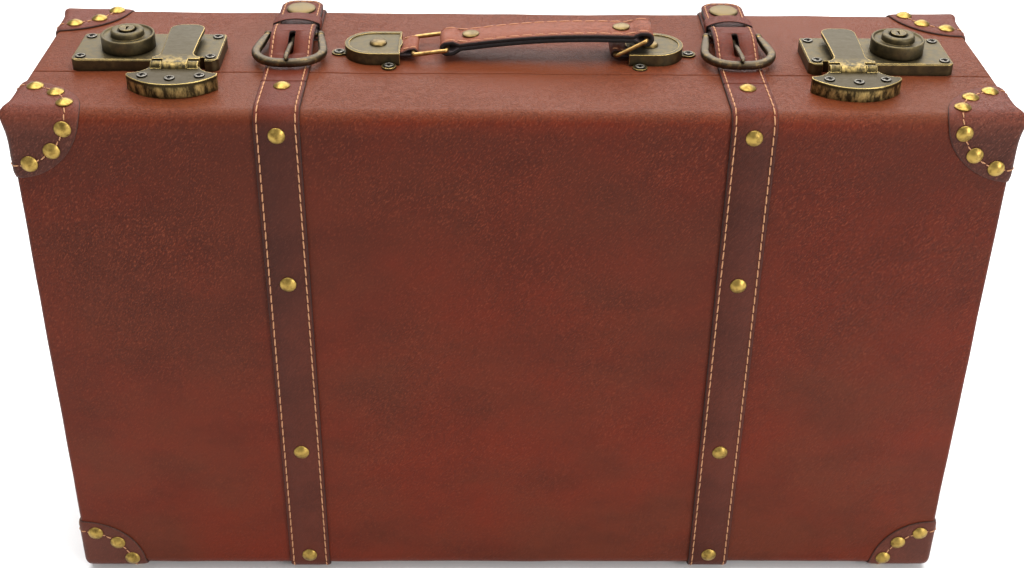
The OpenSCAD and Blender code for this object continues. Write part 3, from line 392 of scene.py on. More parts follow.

# %% [markdown]
# ## Metal
# The locks are brass with a dark patina: dull olive on the faces, almost black in the corners,
# which is old dirt and painted shade, and rubbed bright along every edge that a hand meets. An
# edge is found with the Bevel node: where the rounded normal leaves the surface's own, an edge is
# near. Ambient occlusion finds the corners.

# %% Brass with a patina
def worn_brass(name, face, bright, grime_and_shade, rub=1.0, rough=0.34, edge=0.45 * mm,
               blotch=(0.4, 0.75, 0.14), grit=260.0, stretch=(1.0, 1.0, 1.0), relief=0.05 * mm,
               soot_and_shade=(0.3, 0.95, 3.4 * mm), zones=()):
    """Patina on the faces, bright metal at the edges, and dark in the corners that is old dirt and
    painted shade, all broken by noise. blotch is (none, full, share) of the bright blotches by the
    noise, soot is (full, none, reach) of that dark by the open air. Each zone (axis, none, full)
    names a place along an axis with no blotches and one with all; where zones meet, the stronger
    one counts."""
    face, bright, grime_and_shade = (rgb(*tone) for tone in (face, bright, grime_and_shade))
    metal = Finish(name, Metallic=1.0)
    rounded = metal.add("ShaderNodeBevel", {"samples": 6}, Radius=edge)[0]
    own = metal.add("ShaderNodeNewGeometry")[1]
    along = node(metal.tree, "ShaderNodeVectorMath", {"operation": "DOT_PRODUCT"},
                 {0: rounded, 1: own})[1]
    open_air = metal.add("ShaderNodeAmbientOcclusion", {"samples": 6}, Distance=soot_and_shade[2])[1]
    mottle = metal.noise(grit, 5.0, 0.65, stretch=stretch)
    scratches = metal.noise(90, 3.0, 0.6, stretch=(1.0, 0.12, 1.0), seed=1.3)
    edges = (1 - along).clamped(0.004, 0.10) * open_air.clamped(0.45, 0.8)
    rubbed = (edges * (mottle.clamped(0.3, 0.6) * 0.7 + 0.45) * rub).clamped(0.05, 0.8)
    blotches = mottle.clamped(*blotch[:2]) * blotch[2]
    if zones:
        place = metal.add("ShaderNodeSeparateXYZ", Vector=metal.place)
        shares = [place[axis].clamped(none, full) for axis, none, full in zones]
        strongest = shares[0] if len(shares) == 1 else shares[0].math("MAXIMUM", *shares)
        blotches = blotches * strongest
    tone = metal.mix(blotches, face, bright)
    tone = metal.mix(rubbed, tone, bright)
    # old dirt in the hollows and painted shade: darker where ambient occlusion finds little open
    # air
    tone = metal.mix((1 - open_air.clamped(*soot_and_shade[:2])) * 0.9, tone, grime_and_shade)
    roughness = mottle * 0.22 + scratches * 0.12 - rubbed * 0.14 + rough
    normal = metal.bump(mottle * 0.6 + scratches * 0.5, relief, 0.6, normal=rounded)
    return metal.feed(Base_Color=tone, Roughness=roughness, Normal=normal)


lock_brass = worn_brass("lock_brass", (82, 74, 56), (208, 176, 106), (22, 17, 10), 1.2,
                        edge=0.6 * mm)
buckle_brass = worn_brass("buckle_brass", (84, 73, 58), (190, 158, 98), (26, 20, 15), 1.1, 0.3,
                          blotch=(0.5, 0.72, 0.35), grit=420.0, relief=0.1 * mm)
# painted shade: a near-black colour in the keyhole and round the plug
plug_brass = worn_brass("plug_brass", (80, 70, 50), (200, 174, 118), (8, 6, 4), 0.6, 0.3,
                        blotch=(0.45, 0.7, 0.25), soot_and_shade=(0.5, 0.98, 1.6 * mm))
# painted shadow: a near-black colour in the cross and round each screw head
nickel = worn_brass("nickel", (118, 113, 104), (196, 190, 178), (7, 6, 5), 1.2, 0.3, 0.2 * mm,
                    soot_and_shade=(0.45, 0.9, 0.9 * mm))
cap_brass = worn_brass("cap_brass", (108, 93, 64), (196, 160, 96), (40, 30, 18), 1.0, 0.3,
                       edge=0.6 * mm)
print("lock brass has", len(lock_brass.node_tree.nodes), "nodes")

# %% [markdown]
# The hasps were hammered: large bright blotches lie on the neck, where lever and foot meet, and on
# the foot's side, while the flat faces stay dull. Two zones tell the finish where: one by height
# above the case, one by distance from the neck.

# %% Hammered brass for the hasps
hammered = dict(rub=1.5, edge=0.9 * mm, blotch=(0.42, 0.64, 0.75), grit=330.0,
                stretch=(1.0, 1.0, 2.6), relief=0.25 * mm)
neck_y = -36.5 * mm
y_way, z_way = 1, 2
foot_side = (z_way, top + 6.9 * mm, top + 5.7 * mm)
rough_brass = worn_brass("rough_brass", (66, 57, 38), (216, 188, 120), (18, 14, 8), **hammered,
                         zones=(foot_side, (y_way, neck_y - 1 * mm, neck_y + 8 * mm)))
lever_brass = worn_brass("lever_brass", (78, 70, 53), (212, 182, 112), (20, 15, 9), **hammered,
                         zones=((y_way, neck_y + 13 * mm, neck_y + 1 * mm),))
print("the hasp's neck lies at y =", neck_y)

# %% [markdown]
# Tacks, rivets, rings and pins are plain metal with small dull spots, because they are small and
# stamped clean.

# %% Plain metals
def clean_metal(name, bright, dark, rough):
    """A plain metal with small dull spots."""
    metal = Finish(name, Metallic=1.0)
    spots = metal.noise(300, 4.0, 0.6)
    rounded = metal.add("ShaderNodeBevel", {"samples": 4}, Radius=0.25 * mm)[0]
    return metal.feed(Base_Color=metal.mix(spots.clamped(0.45, 0.72), rgb(*bright), rgb(*dark)),
                      Roughness=spots * 0.2 + rough,
                      Normal=metal.bump(spots, 0.03 * mm, 0.4, normal=rounded))


tack_brass = clean_metal("tack_brass", (166, 138, 72), (108, 86, 42), 0.28)
# painted shade: near-black for the cross and the rim of the screw heads
painted_shade_black = clean_metal("painted_shade_black", (12, 9, 6), (26, 20, 13), 0.5)
rivet_brass = clean_metal("rivet_brass", (122, 102, 64), (84, 68, 40), 0.3)
ring_brass = clean_metal("ring_brass", (180, 144, 88), (112, 82, 48), 0.24)
steel = clean_metal("steel", (150, 150, 146), (100, 100, 98), 0.3)
print("tack brass has", len(tack_brass.node_tree.nodes), "nodes")

# %% [markdown]
# ## Board and lining
# Only an open case shows these: pressed fibreboard at the rim and a plain woven cotton inside.

# %% Make the board and cloth finishes
pulp = Finish("board", Specular_IOR_Level=0.2)
flecks = pulp.noise(300, 5.0, 0.7, stretch=(3.0, 1.0, 1.0))
board = pulp.feed(Base_Color=pulp.mix(flecks, rgb(150, 118, 82), rgb(196, 164, 122)),
                  Roughness=flecks * 0.15 + 0.75, Normal=pulp.bump(flecks, 0.1 * mm, 0.5))
weave = Finish("cotton", Specular_IOR_Level=0.2, Sheen_Weight=0.2)
threads = weave.wave("X", 700.0) * 0.5 + weave.wave("Z", 700.0) * 0.5
shade = threads * 0.5 + weave.noise(60) * 0.4
cotton = weave.feed(Base_Color=weave.mix(shade, rgb(176, 148, 114), rgb(222, 200, 168)),
                    Roughness=threads * 0.1 + 0.8, Normal=weave.bump(threads, 0.12 * mm, 0.7))
print("materials so far:", len(bpy.data.materials))

# %% [markdown]
# ## The leather shell
# Each half is a tray: a wall round four sides and a large panel. One closed loop runs round the
# tray, and stations carry it from the rim over the rolled edge to the middle of the panel, then
# back inside. The leather is glued on by hand, so it is a little uneven: slow waves of one or two
# tenths of a millimetre break up its reflections.

# %% The loop of a tray, and its stations
def loop_parts(step=8 * mm, turns=8):
    """Points of a loop in X and Z as two unit shares: a corner share (-1 to 1 on each axis) and a
    direction. The point is share * (half sizes - corner radius) + direction * corner radius."""
    wide = int(round(2 * case_half / step / 2)) * 2
    high = int(round(2 * half_high / step / 2)) * 2
    shares, directions = [], []
    corners = np.array([(1, 1), (-1, 1), (-1, -1), (1, -1)], float)
    for k, count in enumerate((wide, high, wide, high)):
        angle = np.radians(90 * k + np.linspace(0, 90, turns, endpoint=False))
        shares.append(np.repeat(corners[k][None], turns, 0))
        directions.append(np.stack([np.cos(angle), np.sin(angle)], -1))
        along = np.linspace(0, 1, count, endpoint=False)[:, None]
        shares.append(corners[k] * (1 - along) + corners[(k + 1) % 4] * along)
        normal = np.radians(90 * k + 90)
        directions.append(np.repeat([[np.cos(normal), np.sin(normal)]], count, 0))
    return np.concatenate(shares), np.concatenate(directions)


def tray(stations):
    """Carries the loop through stations of (inset at the ends, inset at top and bottom, corner
    radius, y): a grid of stations by loop."""
    share, direction = loop_parts()
    at_ends, inset, radius, y = (np.array(column, float)[:, None, None]
                                 for column in zip(*stations))
    half = np.array([case_half, half_high]) - np.concatenate([at_ends, inset], -1)
    flat = share[None] * np.maximum(half - radius, 0) + direction[None] * radius
    x, z = flat[..., 0], flat[..., 1] + middle_z
    return np.stack([x, np.broadcast_to(y[..., 0], x.shape), z], -1)


def uneven(points, size=0.12 * mm):
    """Slow waves in the glued leather: a few crossing sines, pushed out from the middle of the
    case."""
    x, y, z = np.moveaxis(points, -1, 0)
    wave = (np.sin(61 * x + 23 * z + 1.3) + np.sin(47 * z - 31 * x + 40 * y)
            + 0.7 * np.sin(113 * x + 0.6) + 0.7 * np.sin(97 * z + 59 * y + 2.1)
            + 0.5 * np.sin(171 * x - 149 * z))
    inner = np.array([case_half - end_roll, (back - front) / 2 - edge_roll, half_high - edge_roll])
    centred = points - np.array([0, 0, middle_z])
    out = unit(centred - np.clip(centred, -inner, inner))
    return points + out * (wave * size)[..., None]


print("the loop has", len(loop_parts()[0]), "points")


# %% The course from the rim to the panel and back
mid_ring = 60 * mm


def end_inset(depth):
    """How far the tighter roll of the ends draws the shell in, at a depth behind the face."""
    into = np.clip(end_roll - depth, 0, end_roll)
    return end_roll - np.sqrt(end_roll ** 2 - into ** 2)


def half_stations(rim, face):
    """Stations of one half's skin: round the rim, along the wall, over the roll, to the panel's
    middle, then back along the inside of the leather to the turned-in rim."""
    way = np.sign(face - rim)
    lip, r, inner_r = 0.7 * mm, end_roll, 1.3 * mm
    rim_turn = []
    for a in np.radians([0, 22, 45, 68, 90]):
        inset = lip * (1 - np.sin(a))
        rim_turn.append((inset, inset, r - inset, rim + way * lip * (1 - np.cos(a))))
    wall_ys = np.linspace(rim + way * lip, face - way * edge_roll, 8)[1:]
    wall = [(0, 0, r, y) for y in wall_ys]
    roll = []
    for a in np.radians(np.linspace(0, 90, 15)[1:]):
        depth = edge_roll * (1 - np.sin(a))
        roll.append((end_inset(depth), edge_roll * (1 - np.cos(a)), r, face - way * depth))
    shares = np.linspace(0, 1, 20)[1:]
    insets = np.linspace(edge_roll, half_high, 20)[1:]
    panel = [(inset + (r - edge_roll) * (1 - k) ** 2, inset, r * (1 - k), face)
             for k, inset in zip(shares, insets)]
    deep = edge_roll - cover_t
    inside = [(inset, inset, 0, face - way * cover_t) for inset in (half_high, mid_ring, edge_roll)]
    for a in np.radians([30, 60, 90]):
        inside.append((cover_t + inner_r, edge_roll - deep * np.sin(a), inner_r,
                       face - way * (edge_roll - deep * np.cos(a))))
    in_rim, turned_in = rim + way * cover_t, cover_t + board_t
    inside += [(cover_t, cover_t, inner_r, in_rim), (turned_in, turned_in, 0.5 * mm, in_rim),
               (turned_in, turned_in, 0.5 * mm, rim), (4 * mm, 4 * mm, 1 * mm, rim)]
    return rim_turn + wall + roll + panel + inside


for half, rim, face in halves:
    points = uneven(tray(half_stations(rim, face)))
    faces = grid_faces(*points.shape[:2], True, True)
    make_piece(f"{half}_skin", [part(points, faces)], [shell_leather], half, f"{half}_cover")

# %% [markdown]
# ## The lining
# Cotton is pasted inside each half, so it is a tray too: a thin cloth that runs from the rim down
# the boards and across the panel. Its cut is the panel with four walls folded up, which is a cross
# and not a full rectangle.

# %% Line both halves
inner, cloth, bend, corner_r = cover_t + board_t, 0.7 * mm, 1.8 * mm, 0.5 * mm
for half, rim, face in halves:
    way = np.sign(face - rim)
    floor = face - way * inner
    outside = [(inner, inner, corner_r, y) for y in np.linspace(rim, floor - way * bend, 6)]
    for a in np.radians([30, 60, 90]):
        inset = inner + bend * (1 - np.cos(a))
        outside.append((inset, inset, corner_r, floor - way * bend * (1 - np.sin(a))))
    outside += [(inset, inset, 0, floor) for inset in (mid_ring, half_high)]
    inside = [(inset, inset, 0, floor - way * cloth) for inset in (half_high, mid_ring)]
    inside += [(inner + cloth, inner + cloth, corner_r, y)
               for y in np.linspace(floor - way * (cloth + bend), rim, 6)]
    points = tray(outside + inside)
    faces = grid_faces(*points.shape[:2], True, True)
    lining = make_piece(f"{half}_cloth", [part(points, faces)], [cotton], half, f"{half}_lining")
    depth = abs(floor - rim)
    wide, high = 2 * (case_half - inner), 2 * half_high - 2 * inner
    wide + 2 * depth
    high + 2 * depth
    wide * high + 2 * depth * (wide + high)

# %% [markdown]
# ## Sewing and turned pieces
# Three small makers serve the rest of the case. One turns a profile about an axis: tacks, rivets,
# caps. One carries an outline along a path: wires and bands. One lays stitches: flattened capsules
# whose ends dip into the leather, which is how a lock stitch looks from above.

# %% Turned profiles
def turned(profile, at, axis=z_axis, sides=24):
    """Turns a profile of (radius, height) in millimetres about an axis through a place."""
    radius, height = (np.array(profile, float) * mm).T
    axis = unit(np.array(axis, float))
    first = unit(np.cross(axis, [0.31, 0.83, 0.47]))
    second = np.cross(axis, first)
    angle = np.linspace(0, 2 * np.pi, sides, endpoint=False)
    ring = np.cos(angle)[:, None] * first + np.sin(angle)[:, None] * second
    points = np.array(at) + radius[:, None, None] * ring + height[:, None, None] * axis
    return part(points, grid_faces(len(radius), sides, False, True))


def pin(radius, low, high):
    """The profile of a plain round pin, from one height to another, in millimetres."""
    return [(0, low), (radius, low), (radius, high), (0, high)]


print("a pin of 24 sides has", len(turned(pin(2, 0, 6), (0, 0, 0))[1]), "faces")


# %% Paths
def bent(corners, radius, step=1.5 * mm, closed=False):
    """A path through corners, each rounded to a radius by an arc. Points lie about a step apart."""
    corners = np.array(corners, float)
    count = len(corners)
    out = []
    for k in range(count):
        here = corners[k]
        if not closed and k in (0, count - 1):
            out.append(here[None])
            continue
        before, after = unit(corners[k - 1] - here), unit(corners[(k + 1) % count] - here)
        half = np.arccos(np.clip(before @ after, -1, 1)) / 2
        nearly_straight = 1.5
        if half > nearly_straight or radius == 0:
            out.append(here[None])
            continue
        cut = radius / np.tan(half)
        centre = here + unit(before + after) * radius / np.sin(half)
        start, end = here + before * cut - centre, here + after * cut - centre
        turn = np.pi - 2 * half
        t = np.linspace(0, 1, max(3, int(np.degrees(turn) / 12) + 1))[:, None]
        arc = (np.sin((1 - t) * turn) * start + np.sin(t * turn) * end) / np.sin(turn)
        out.append(centre + arc)
    points = np.concatenate(out)
    if closed:
        points = np.concatenate([points, points[:1]])
    fill = []
    for start, run in zip(points, np.diff(points, axis=0)):
        gap = np.linalg.norm(run)
        if gap > 1e-9:
            pieces = max(2, int(np.ceil(gap / step)) + 1)
            fill.append(start + run * np.linspace(0, 1, pieces)[:-1, None])
    if not closed:
        fill.append(points[-1:])
    return np.concatenate(fill)


hook = [(0, 0, 0), (10 * mm, 0, 0), (10 * mm, 0, 10 * mm)]
print("a hook with legs of 10 mm has", len(bent(hook, 4 * mm)), "points")


# %% Outlines carried along a path
def tangents(path, closed):
    """Unit direction of the path at each point: the sum of the unit steps before and after it."""
    if closed:
        ahead = unit(np.roll(path, -1, 0) - path)
        return unit(ahead + np.roll(ahead, 1, 0))
    ahead = unit(np.diff(path, axis=0))
    return unit(np.concatenate([ahead[:1], ahead]) + np.concatenate([ahead, ahead[-1:]]))


def carried(path, side, outline, closed=False, finish=0):
    """Carries an outline along a flat path. The outline's first axis lies along side, its second
    along side x direction. The ends of an open path are closed by a point."""
    side = np.array(side, float)
    up = np.cross(side, tangents(path, closed))
    outline = np.broadcast_to(np.asarray(outline, float), (len(path), *np.shape(outline)[-2:]))
    if not closed:
        path = np.concatenate([path[:1], path, path[-1:]])
        up = np.concatenate([up[:1], up, up[-1:]])
        ends = [np.broadcast_to(outline[k].mean(0), (1, *outline.shape[1:])) for k in (0, -1)]
        outline = np.concatenate([ends[0], outline, ends[1]])
    points = path[:, None] + outline[..., :1] * side + outline[..., 1:] * up[:, None]
    faces = grid_faces(*points.shape[:2], closed, True)
    if np.ndim(finish):
        finish = np.tile(finish, len(faces) // len(finish))
    return part(points, faces, finish)


def oval(half_side, half_up, power=1.0, sides=20):
    """An outline from an ellipse (power 1) towards a rounded box (power below 1)."""
    angle = np.linspace(0, 2 * np.pi, sides, endpoint=False)
    c, s = np.cos(angle), np.sin(angle)
    return np.stack([half_side * np.sign(c) * abs(c) ** power,
                     half_up * np.sign(s) * abs(s) ** power], -1)


print("an ellipse of 2 by 1 mm has its first corner at", oval(2 * mm, 1 * mm)[0])


# %% Stitches
def stitches(line, up, length, width, finish, gap=0.9 * mm, tilt=0.0):
    """Flattened capsules laid along a line of points at even steps. Each starts a small gap after
    the last one. tilt turns each a little off the line, as a lock stitch pulls it. Along u a
    capsule is as thick as its share, and sinks where that is below about a half."""
    steps = np.concatenate([[0], np.cumsum(np.linalg.norm(np.diff(line, axis=0), axis=1))])
    count = max(1, int(round(steps[-1] / (length + gap))))
    middle = (np.arange(count) + 0.5) * steps[-1] / count
    half = (steps[-1] / count - gap) / 2
    u = np.array([-1, -0.93, -0.72, -0.3, 0.3, 0.72, 0.93, 1]) * half
    thick = np.array([0.02, 0.55, 0.9, 1, 1, 0.9, 0.55, 0.02])
    rise, flatness, round_sides = 0.35 * mm, 0.42, 8
    angle = np.linspace(0, 2 * np.pi, round_sides, endpoint=False)
    at = middle[:, None] + u
    centre = np.stack([np.interp(at, steps, line[:, k]) for k in range(3)], -1)
    normal = unit(np.stack([np.interp(at, steps, up[:, k]) for k in range(3)], -1))
    run = unit(centre[:, -1:] - centre[:, :1])
    across = unit(np.cross(normal, run))
    centre = centre + across * (u * np.tan(tilt))[None, :, None]
    ring = (np.cos(angle)[:, None] * across[:, :, None] * width / 2
            + np.sin(angle)[:, None] * normal[:, :, None] * width * flatness)
    lift = normal * ((thick - 0.55) * rise)[None, :, None]
    points = (centre + lift)[:, :, None] + ring * thick[None, :, None, None]
    first_cap = np.array([[0, 1, 2, 3], [0, 3, 4, 7], [4, 5, 6, 7]])
    last_cap = first_cap[:, ::-1] + round_sides * (len(u) - 1)
    faces = np.concatenate([grid_faces(len(u), round_sides, False, True), first_cap, last_cap])
    one = round_sides * len(u)
    faces = (np.arange(count)[:, None, None] * one + faces[None]).reshape(-1, 4)
    return part(points, faces, finish)


# %% [markdown]
# ## Corner patches
# A wet piece of leather is pulled over the corner and takes its shape. Its edge is an arc about
# the corner on all three faces. So the patch is a disc: its angle runs over three quarter circles
# on the sharp box, its radius from the corner outwards, and a last step rounds the sharp box.

# %% From the sharp box to the rounded one
def over_corner(radius, angle, offset, corner, signs):
    """radius and angle (0 to 270 degrees) on three faces that meet in a corner, as a point at an
    offset from the case, and its outward direction. The long edge is rounded first: its circle
    keeps a share of its radius, so depth is how far a point lies below the round. The end's
    tighter edge then rounds the pair of (distance from the end, depth) in the same way."""
    radius, angle, offset = np.broadcast_arrays(radius, angle, offset)
    face, turn = (angle // 90).astype(int) % 3, np.radians(angle % 90)
    inward = np.zeros((*radius.shape, 3))
    np.put_along_axis(inward, face[..., None], (radius * np.cos(turn))[..., None], -1)
    np.put_along_axis(inward, ((face + 1) % 3)[..., None], (radius * np.sin(turn))[..., None], -1)
    core = np.maximum(inward[..., 1:], edge_roll)
    reach = core - inward[..., 1:]
    depth = edge_roll - reach.max(-1)
    pair = np.stack([inward[..., 0], depth], -1)
    inner = np.maximum(pair, end_roll)
    out = unit(inner - pair)
    pair = inner - out * (end_roll + offset[..., None])
    rest = core - unit(reach) * (edge_roll - pair[..., 1:])
    normal = np.concatenate([out[..., :1], unit(reach) * out[..., 1:]], -1)
    return corner - signs * np.concatenate([pair[..., :1], rest], -1), signs * normal


# %% [markdown]
# The patch's section runs from the corner out to its pressed seam, over a rounded raw rim and back
# underneath. Its edge waves a little, because it was cut by hand. The upper corners stick out,
# since the wet leather was pinched there as it dried.

# %% Form the patches
seam_r, flare = 31 * mm, 3.2 * mm
flat_of_patch = [(r, patch_t / mm) for r in
                 (0, 1.5, 3, 4.5, 6, 7.5, 9, 12, 15, 18, 21.5, 25, 28.5, 30.6)]
rim_of_patch = [(31, 1.4), (31.4, 1.6), (33, 1.62), (35.5, 1.55), (37.3, 1.2), (38.1, 0.95),
                (38.4, 0.7), (38.5, 0.35), (38.3, -0.3), (20, -0.3), (0, -0.3)]
raw_from = len(flat_of_patch) + 5


def patch(dir_y, face, sx, up):
    """One patch: its outer side, a rounded raw rim, the side glued to the case, and its seam."""
    corner = np.array([sx * case_half, face, top if up > 0 else floor_of_case])
    signs = np.array([sx, dir_y, up])
    radius, offset = (np.array(flat_of_patch + rim_of_patch) * mm).T[..., None]
    angle = np.arange(0, 270, 3.0)[None, :]
    wave = (0.35 * mm * np.sin(np.radians(angle * 4 + 40 * sx + 77 * up))
            * (radius / (38 * mm)) ** 3)
    points, _ = over_corner(radius + wave, angle, offset, corner, signs)
    if up > 0:
        pinched = sx * flare * np.exp(-(radius / (9 * mm)) ** 2) + 0 * angle
        points = points + np.stack([pinched] * 3, -1) * [1, 0, 0.15 * sx]
    rim = np.repeat(np.arange(len(radius) - 1) >= raw_from, angle.size)
    parts = [part(points, grid_faces(*points.shape[:2], False, True), rim.astype(int))]
    for first in np.arange(0, 270, 90):
        turn = np.append(np.linspace(first, first + 90, 60, endpoint=False), first + 89.99)
        line, normal = over_corner(seam_r, turn, patch_t + 0.05 * mm, corner, signs)
        parts.append(stitches(line, normal, length=3.4 * mm, width=0.8 * mm, finish=2,
                              gap=0.8 * mm, tilt=0.12))
    return parts


for half, dir_y, face in outward:
    parts = sum((patch(dir_y, face, sx, up) for sx in (-1, 1) for up in (-1, 1)), [])
    make_piece(f"{half}_patches", parts, [patch_leather, patch_edge, thread], half,
               f"{half}_corners")

# %% [markdown]
# ## Tacks
# Every tack is the same stamping: a low dome with a thin rolled lip. They are placed three to a
# face on the arc of each patch. The case stands on the ones below, which keep it off the ground.

# %% Place the tacks
tack_dome = [(0, -0.3), (4.5, -0.3), (4.62, 0.0), (4.7, 0.18), (4.68, 0.4), (4.5, 0.62),
             (4.0, 0.95), (3.2, 1.45), (2.2, 1.95), (1.1, 2.28), (0, 2.38)]


def tacks(name, places, body, replaced):
    """Tacks at (place, outward direction), as one piece."""
    domes = [turned(tack_dome, at, way, sides=22) for at, way in places]
    make_piece(name, domes, [tack_brass], body, replaced)


tack_arc = np.radians([16.88, 45, 73.12])
arc_points = seam_r * np.stack([np.cos(tack_arc), np.sin(tack_arc)], -1)
for half, dir_y, face in outward:
    round_corner, below = [], []
    for sx in (-1, 1):
        for a, b in arc_points:
            x, y = sx * (case_half - a), face - dir_y * b
            round_corner.append(((x, y, top + patch_t), z_axis))
            below.append(((x, y, floor_of_case - patch_t), -z_axis))
            for z, up in ((top, 1), (floor_of_case, -1)):
                round_corner.append(((x, face + dir_y * patch_t, z - up * b), dir_y * y_axis))
                end_x, end_y = sx * (case_half + patch_t), face - dir_y * a
                round_corner.append(((end_x, end_y, z - up * b), sx * x_axis))
    tacks(f"{half}_dome_tacks", round_corner, half, f"{half}_corner_tacks")
    tacks(f"{half}_feet", below, half, f"{half}_foot_tacks")

# %% [markdown]
# ## Straps
# A strap is a strip carried along a path over the case. Only half its width is drawn, from its
# middle or from the rim of a hole to its raw edge; its mirror makes the other half, and the faces
# that meet in the middle drop out. Two rows of thread run down it, each in a pressed groove.

# %% A leather strip, with holes and rounded ends
grain_side, cut_side, nap_side, sewn = range(4)


def strip(path, half_width, thickness, hole=0.0, closed=False, side=x_axis, groove=2.2 * mm):
    """Both halves of a strip along a path of its underside. half_width and hole are numbers or one
    value for each point of the path. The strip's two layers show as a step by the thread."""
    count = len(path)
    wide, gap = (np.broadcast_to(v, count).astype(float)[:, None] for v in (half_width, hole))
    t = thickness
    low = t - 0.35 * mm
    edge = [(0.3 * mm, 0), (0.05 * mm, 0.3 * t), (0, 0.55 * t), (0.1 * mm, low - 0.15 * mm),
            (0.3 * mm, low), (0.6 * mm, low + 0.02 * mm), (0.72 * mm, t - 0.08 * mm),
            (0.95 * mm, t), (groove - 0.35 * mm, t), (groove, t - 0.28 * mm),
            (groove + 0.35 * mm, t)]
    inset, rise = np.array(edge).T
    u = np.concatenate([gap, np.maximum(wide - inset, gap), gap], 1)
    v = np.broadcast_to(np.concatenate([[0], rise, [t]]), u.shape)
    finish = np.array([nap_side] + [cut_side] * 4 + [grain_side, cut_side] + [grain_side] * 5
                      + [cut_side])
    outline = np.stack([u, v], -1)
    mirror = outline * [-1, 1]
    return [carried(path, side, half, closed, finish) for half in (outline, mirror)]


def thread_lines(path, from_middle, height):
    """Two rows of stitches above a path, at the same distance on both sides of its middle."""
    up = np.cross(x_axis, tangents(path, False))
    rows = [(sign, path + sign * from_middle * x_axis + up * height) for sign in (-1, 1)]
    return [stitches(row, up, length=5.3 * mm, width=0.85 * mm, finish=sewn, gap=0.6 * mm,
                     tilt=0.05 * sign) for sign, row in rows]


sample = strip(np.array([[0, 0, 0], [0, 10 * mm, 0]]), 5 * mm, 2 * mm)
print("a strip along two points has", sum(len(faces) for _, faces, _ in sample), "faces")


# %% [markdown]
# Each strap is two pieces, because the case opens: one starts under the lid and climbs over the
# front to the tongue, the other starts below the tongue and runs down the back and under.

# %% Lay the straps over the case
strip_finishes = [strap_leather, raw_edge, flesh_side, thread]
strap_low, strap_high = low_of["lid_strap_right"][0], high_of["lid_strap_right"][0]
strap_x = (strap_high + strap_low) / 2
tongue_start = low_of["tongue_left"][1]
strap_size = {"lid": ((strap_high - strap_low) / 2, 2.2 * mm), "base": (13.5 * mm, 2 * mm)}
thread_inset = 2.2 * mm
under_lid, under_base, base_start = -39.5 * mm, -3.5 * mm, 24 * mm
for name, sx in sides.items():
    x = sx * strap_x
    courses = {"lid": [(x, under_lid, floor_of_case), (x, front, floor_of_case),
                       (x, front, top), (x, tongue_start - 0.3 * mm, top)],
               "base": [(x, base_start, top), (x, back, top),
                        (x, back, floor_of_case), (x, under_base, floor_of_case)]}
    for half, course in courses.items():
        wide, thick = strap_size[half]
        path = bent(course, edge_roll, 4 * mm)
        parts = strip(path, wide, thick)
        parts += thread_lines(path, wide - thread_inset, thick - 0.05 * mm)
        make_piece(f"{half}_strap_{name}_leather", parts, strip_finishes, half,
                   f"{half}_strap_{name}")

# %% Tack the straps down
strap_heights = (floor_of_case + np.array([12, 95, 215, 308]) * mm).tolist()
top_tack_y = -44.5 * mm
for half, dir_y, face in outward:
    thick = strap_size[half][1]
    places = [((sx * strap_x, face + dir_y * thick, z), dir_y * y_axis)
              for sx in (-1, 1) for z in strap_heights]
    if half == "lid":
        places += [((sx * strap_x, top_tack_y, top + thick), z_axis) for sx in (-1, 1)]
    tacks(f"{half}_strap_domes", places, half, f"{half}_strap_tacks")

# %% [markdown]
# ## Buckled tongues
# The strap's end lifts off the lid, rides over the buckle's bar and dives through the keeper. Its
# height follows two soft steps, each half a cosine. The prong comes up through a slot in it, and
# its tip is rounded.

# %% The tongue's course
buckle_y, bar_z = 19.5 * mm, top + 5.8 * mm
press_y = (high_of["base_press_discs"][1] + low_of["base_press_discs"][1]) / 2
tongue_end = high_of["tongue_left"][1]
tongue_half, tongue_t, tip = 12.5 * mm, 2 * mm, 8 * mm
quarter = np.pi / 2


def soft_step(y, start, end):
    """0 before start, 1 after end, and half a cosine between them."""
    return (1 - np.cos(np.pi * np.clip((y - start) / (end - start), 0, 1))) / 2


def tongue_height(y):
    """Height of the tongue's underside above the top of the case."""
    climb = soft_step(y, -14 * mm, 14.5 * mm)
    dive = soft_step(y, 22 * mm, 35 * mm)
    return (0.3 + 8.0 * climb - 3.8 * dive) * mm


def tip_width(y, half, end, radius):
    """Half width of a strap end whose two corners are rounded."""
    into = np.clip(y - (end - radius), 0, radius)
    return half - radius + np.sqrt(radius ** 2 - into ** 2)


def tip_line(x, from_middle):
    """The tongue's seam: up one side, round the tip and back, just sunk into its upper face."""
    start, bend_y = tongue_start + 1 * mm, tongue_end - tip
    arc = tip - (tongue_half - from_middle)
    turn = np.linspace(0, quarter, 10)
    ys = np.concatenate([np.linspace(start, bend_y, 60)[:-1], bend_y + arc * np.sin(turn)])
    xs = np.concatenate([np.full(59, from_middle), from_middle - arc + arc * np.cos(turn)])
    xs, ys = np.concatenate([xs, -xs[::-1]]), np.concatenate([ys, ys[::-1]])
    return np.stack([x + xs, ys, top + (tongue_height(ys) + (tongue_t - 0.05 * mm))], -1)


print("the tongue rises to", tongue_height(buckle_y) / mm, "mm at the buckle's bar")

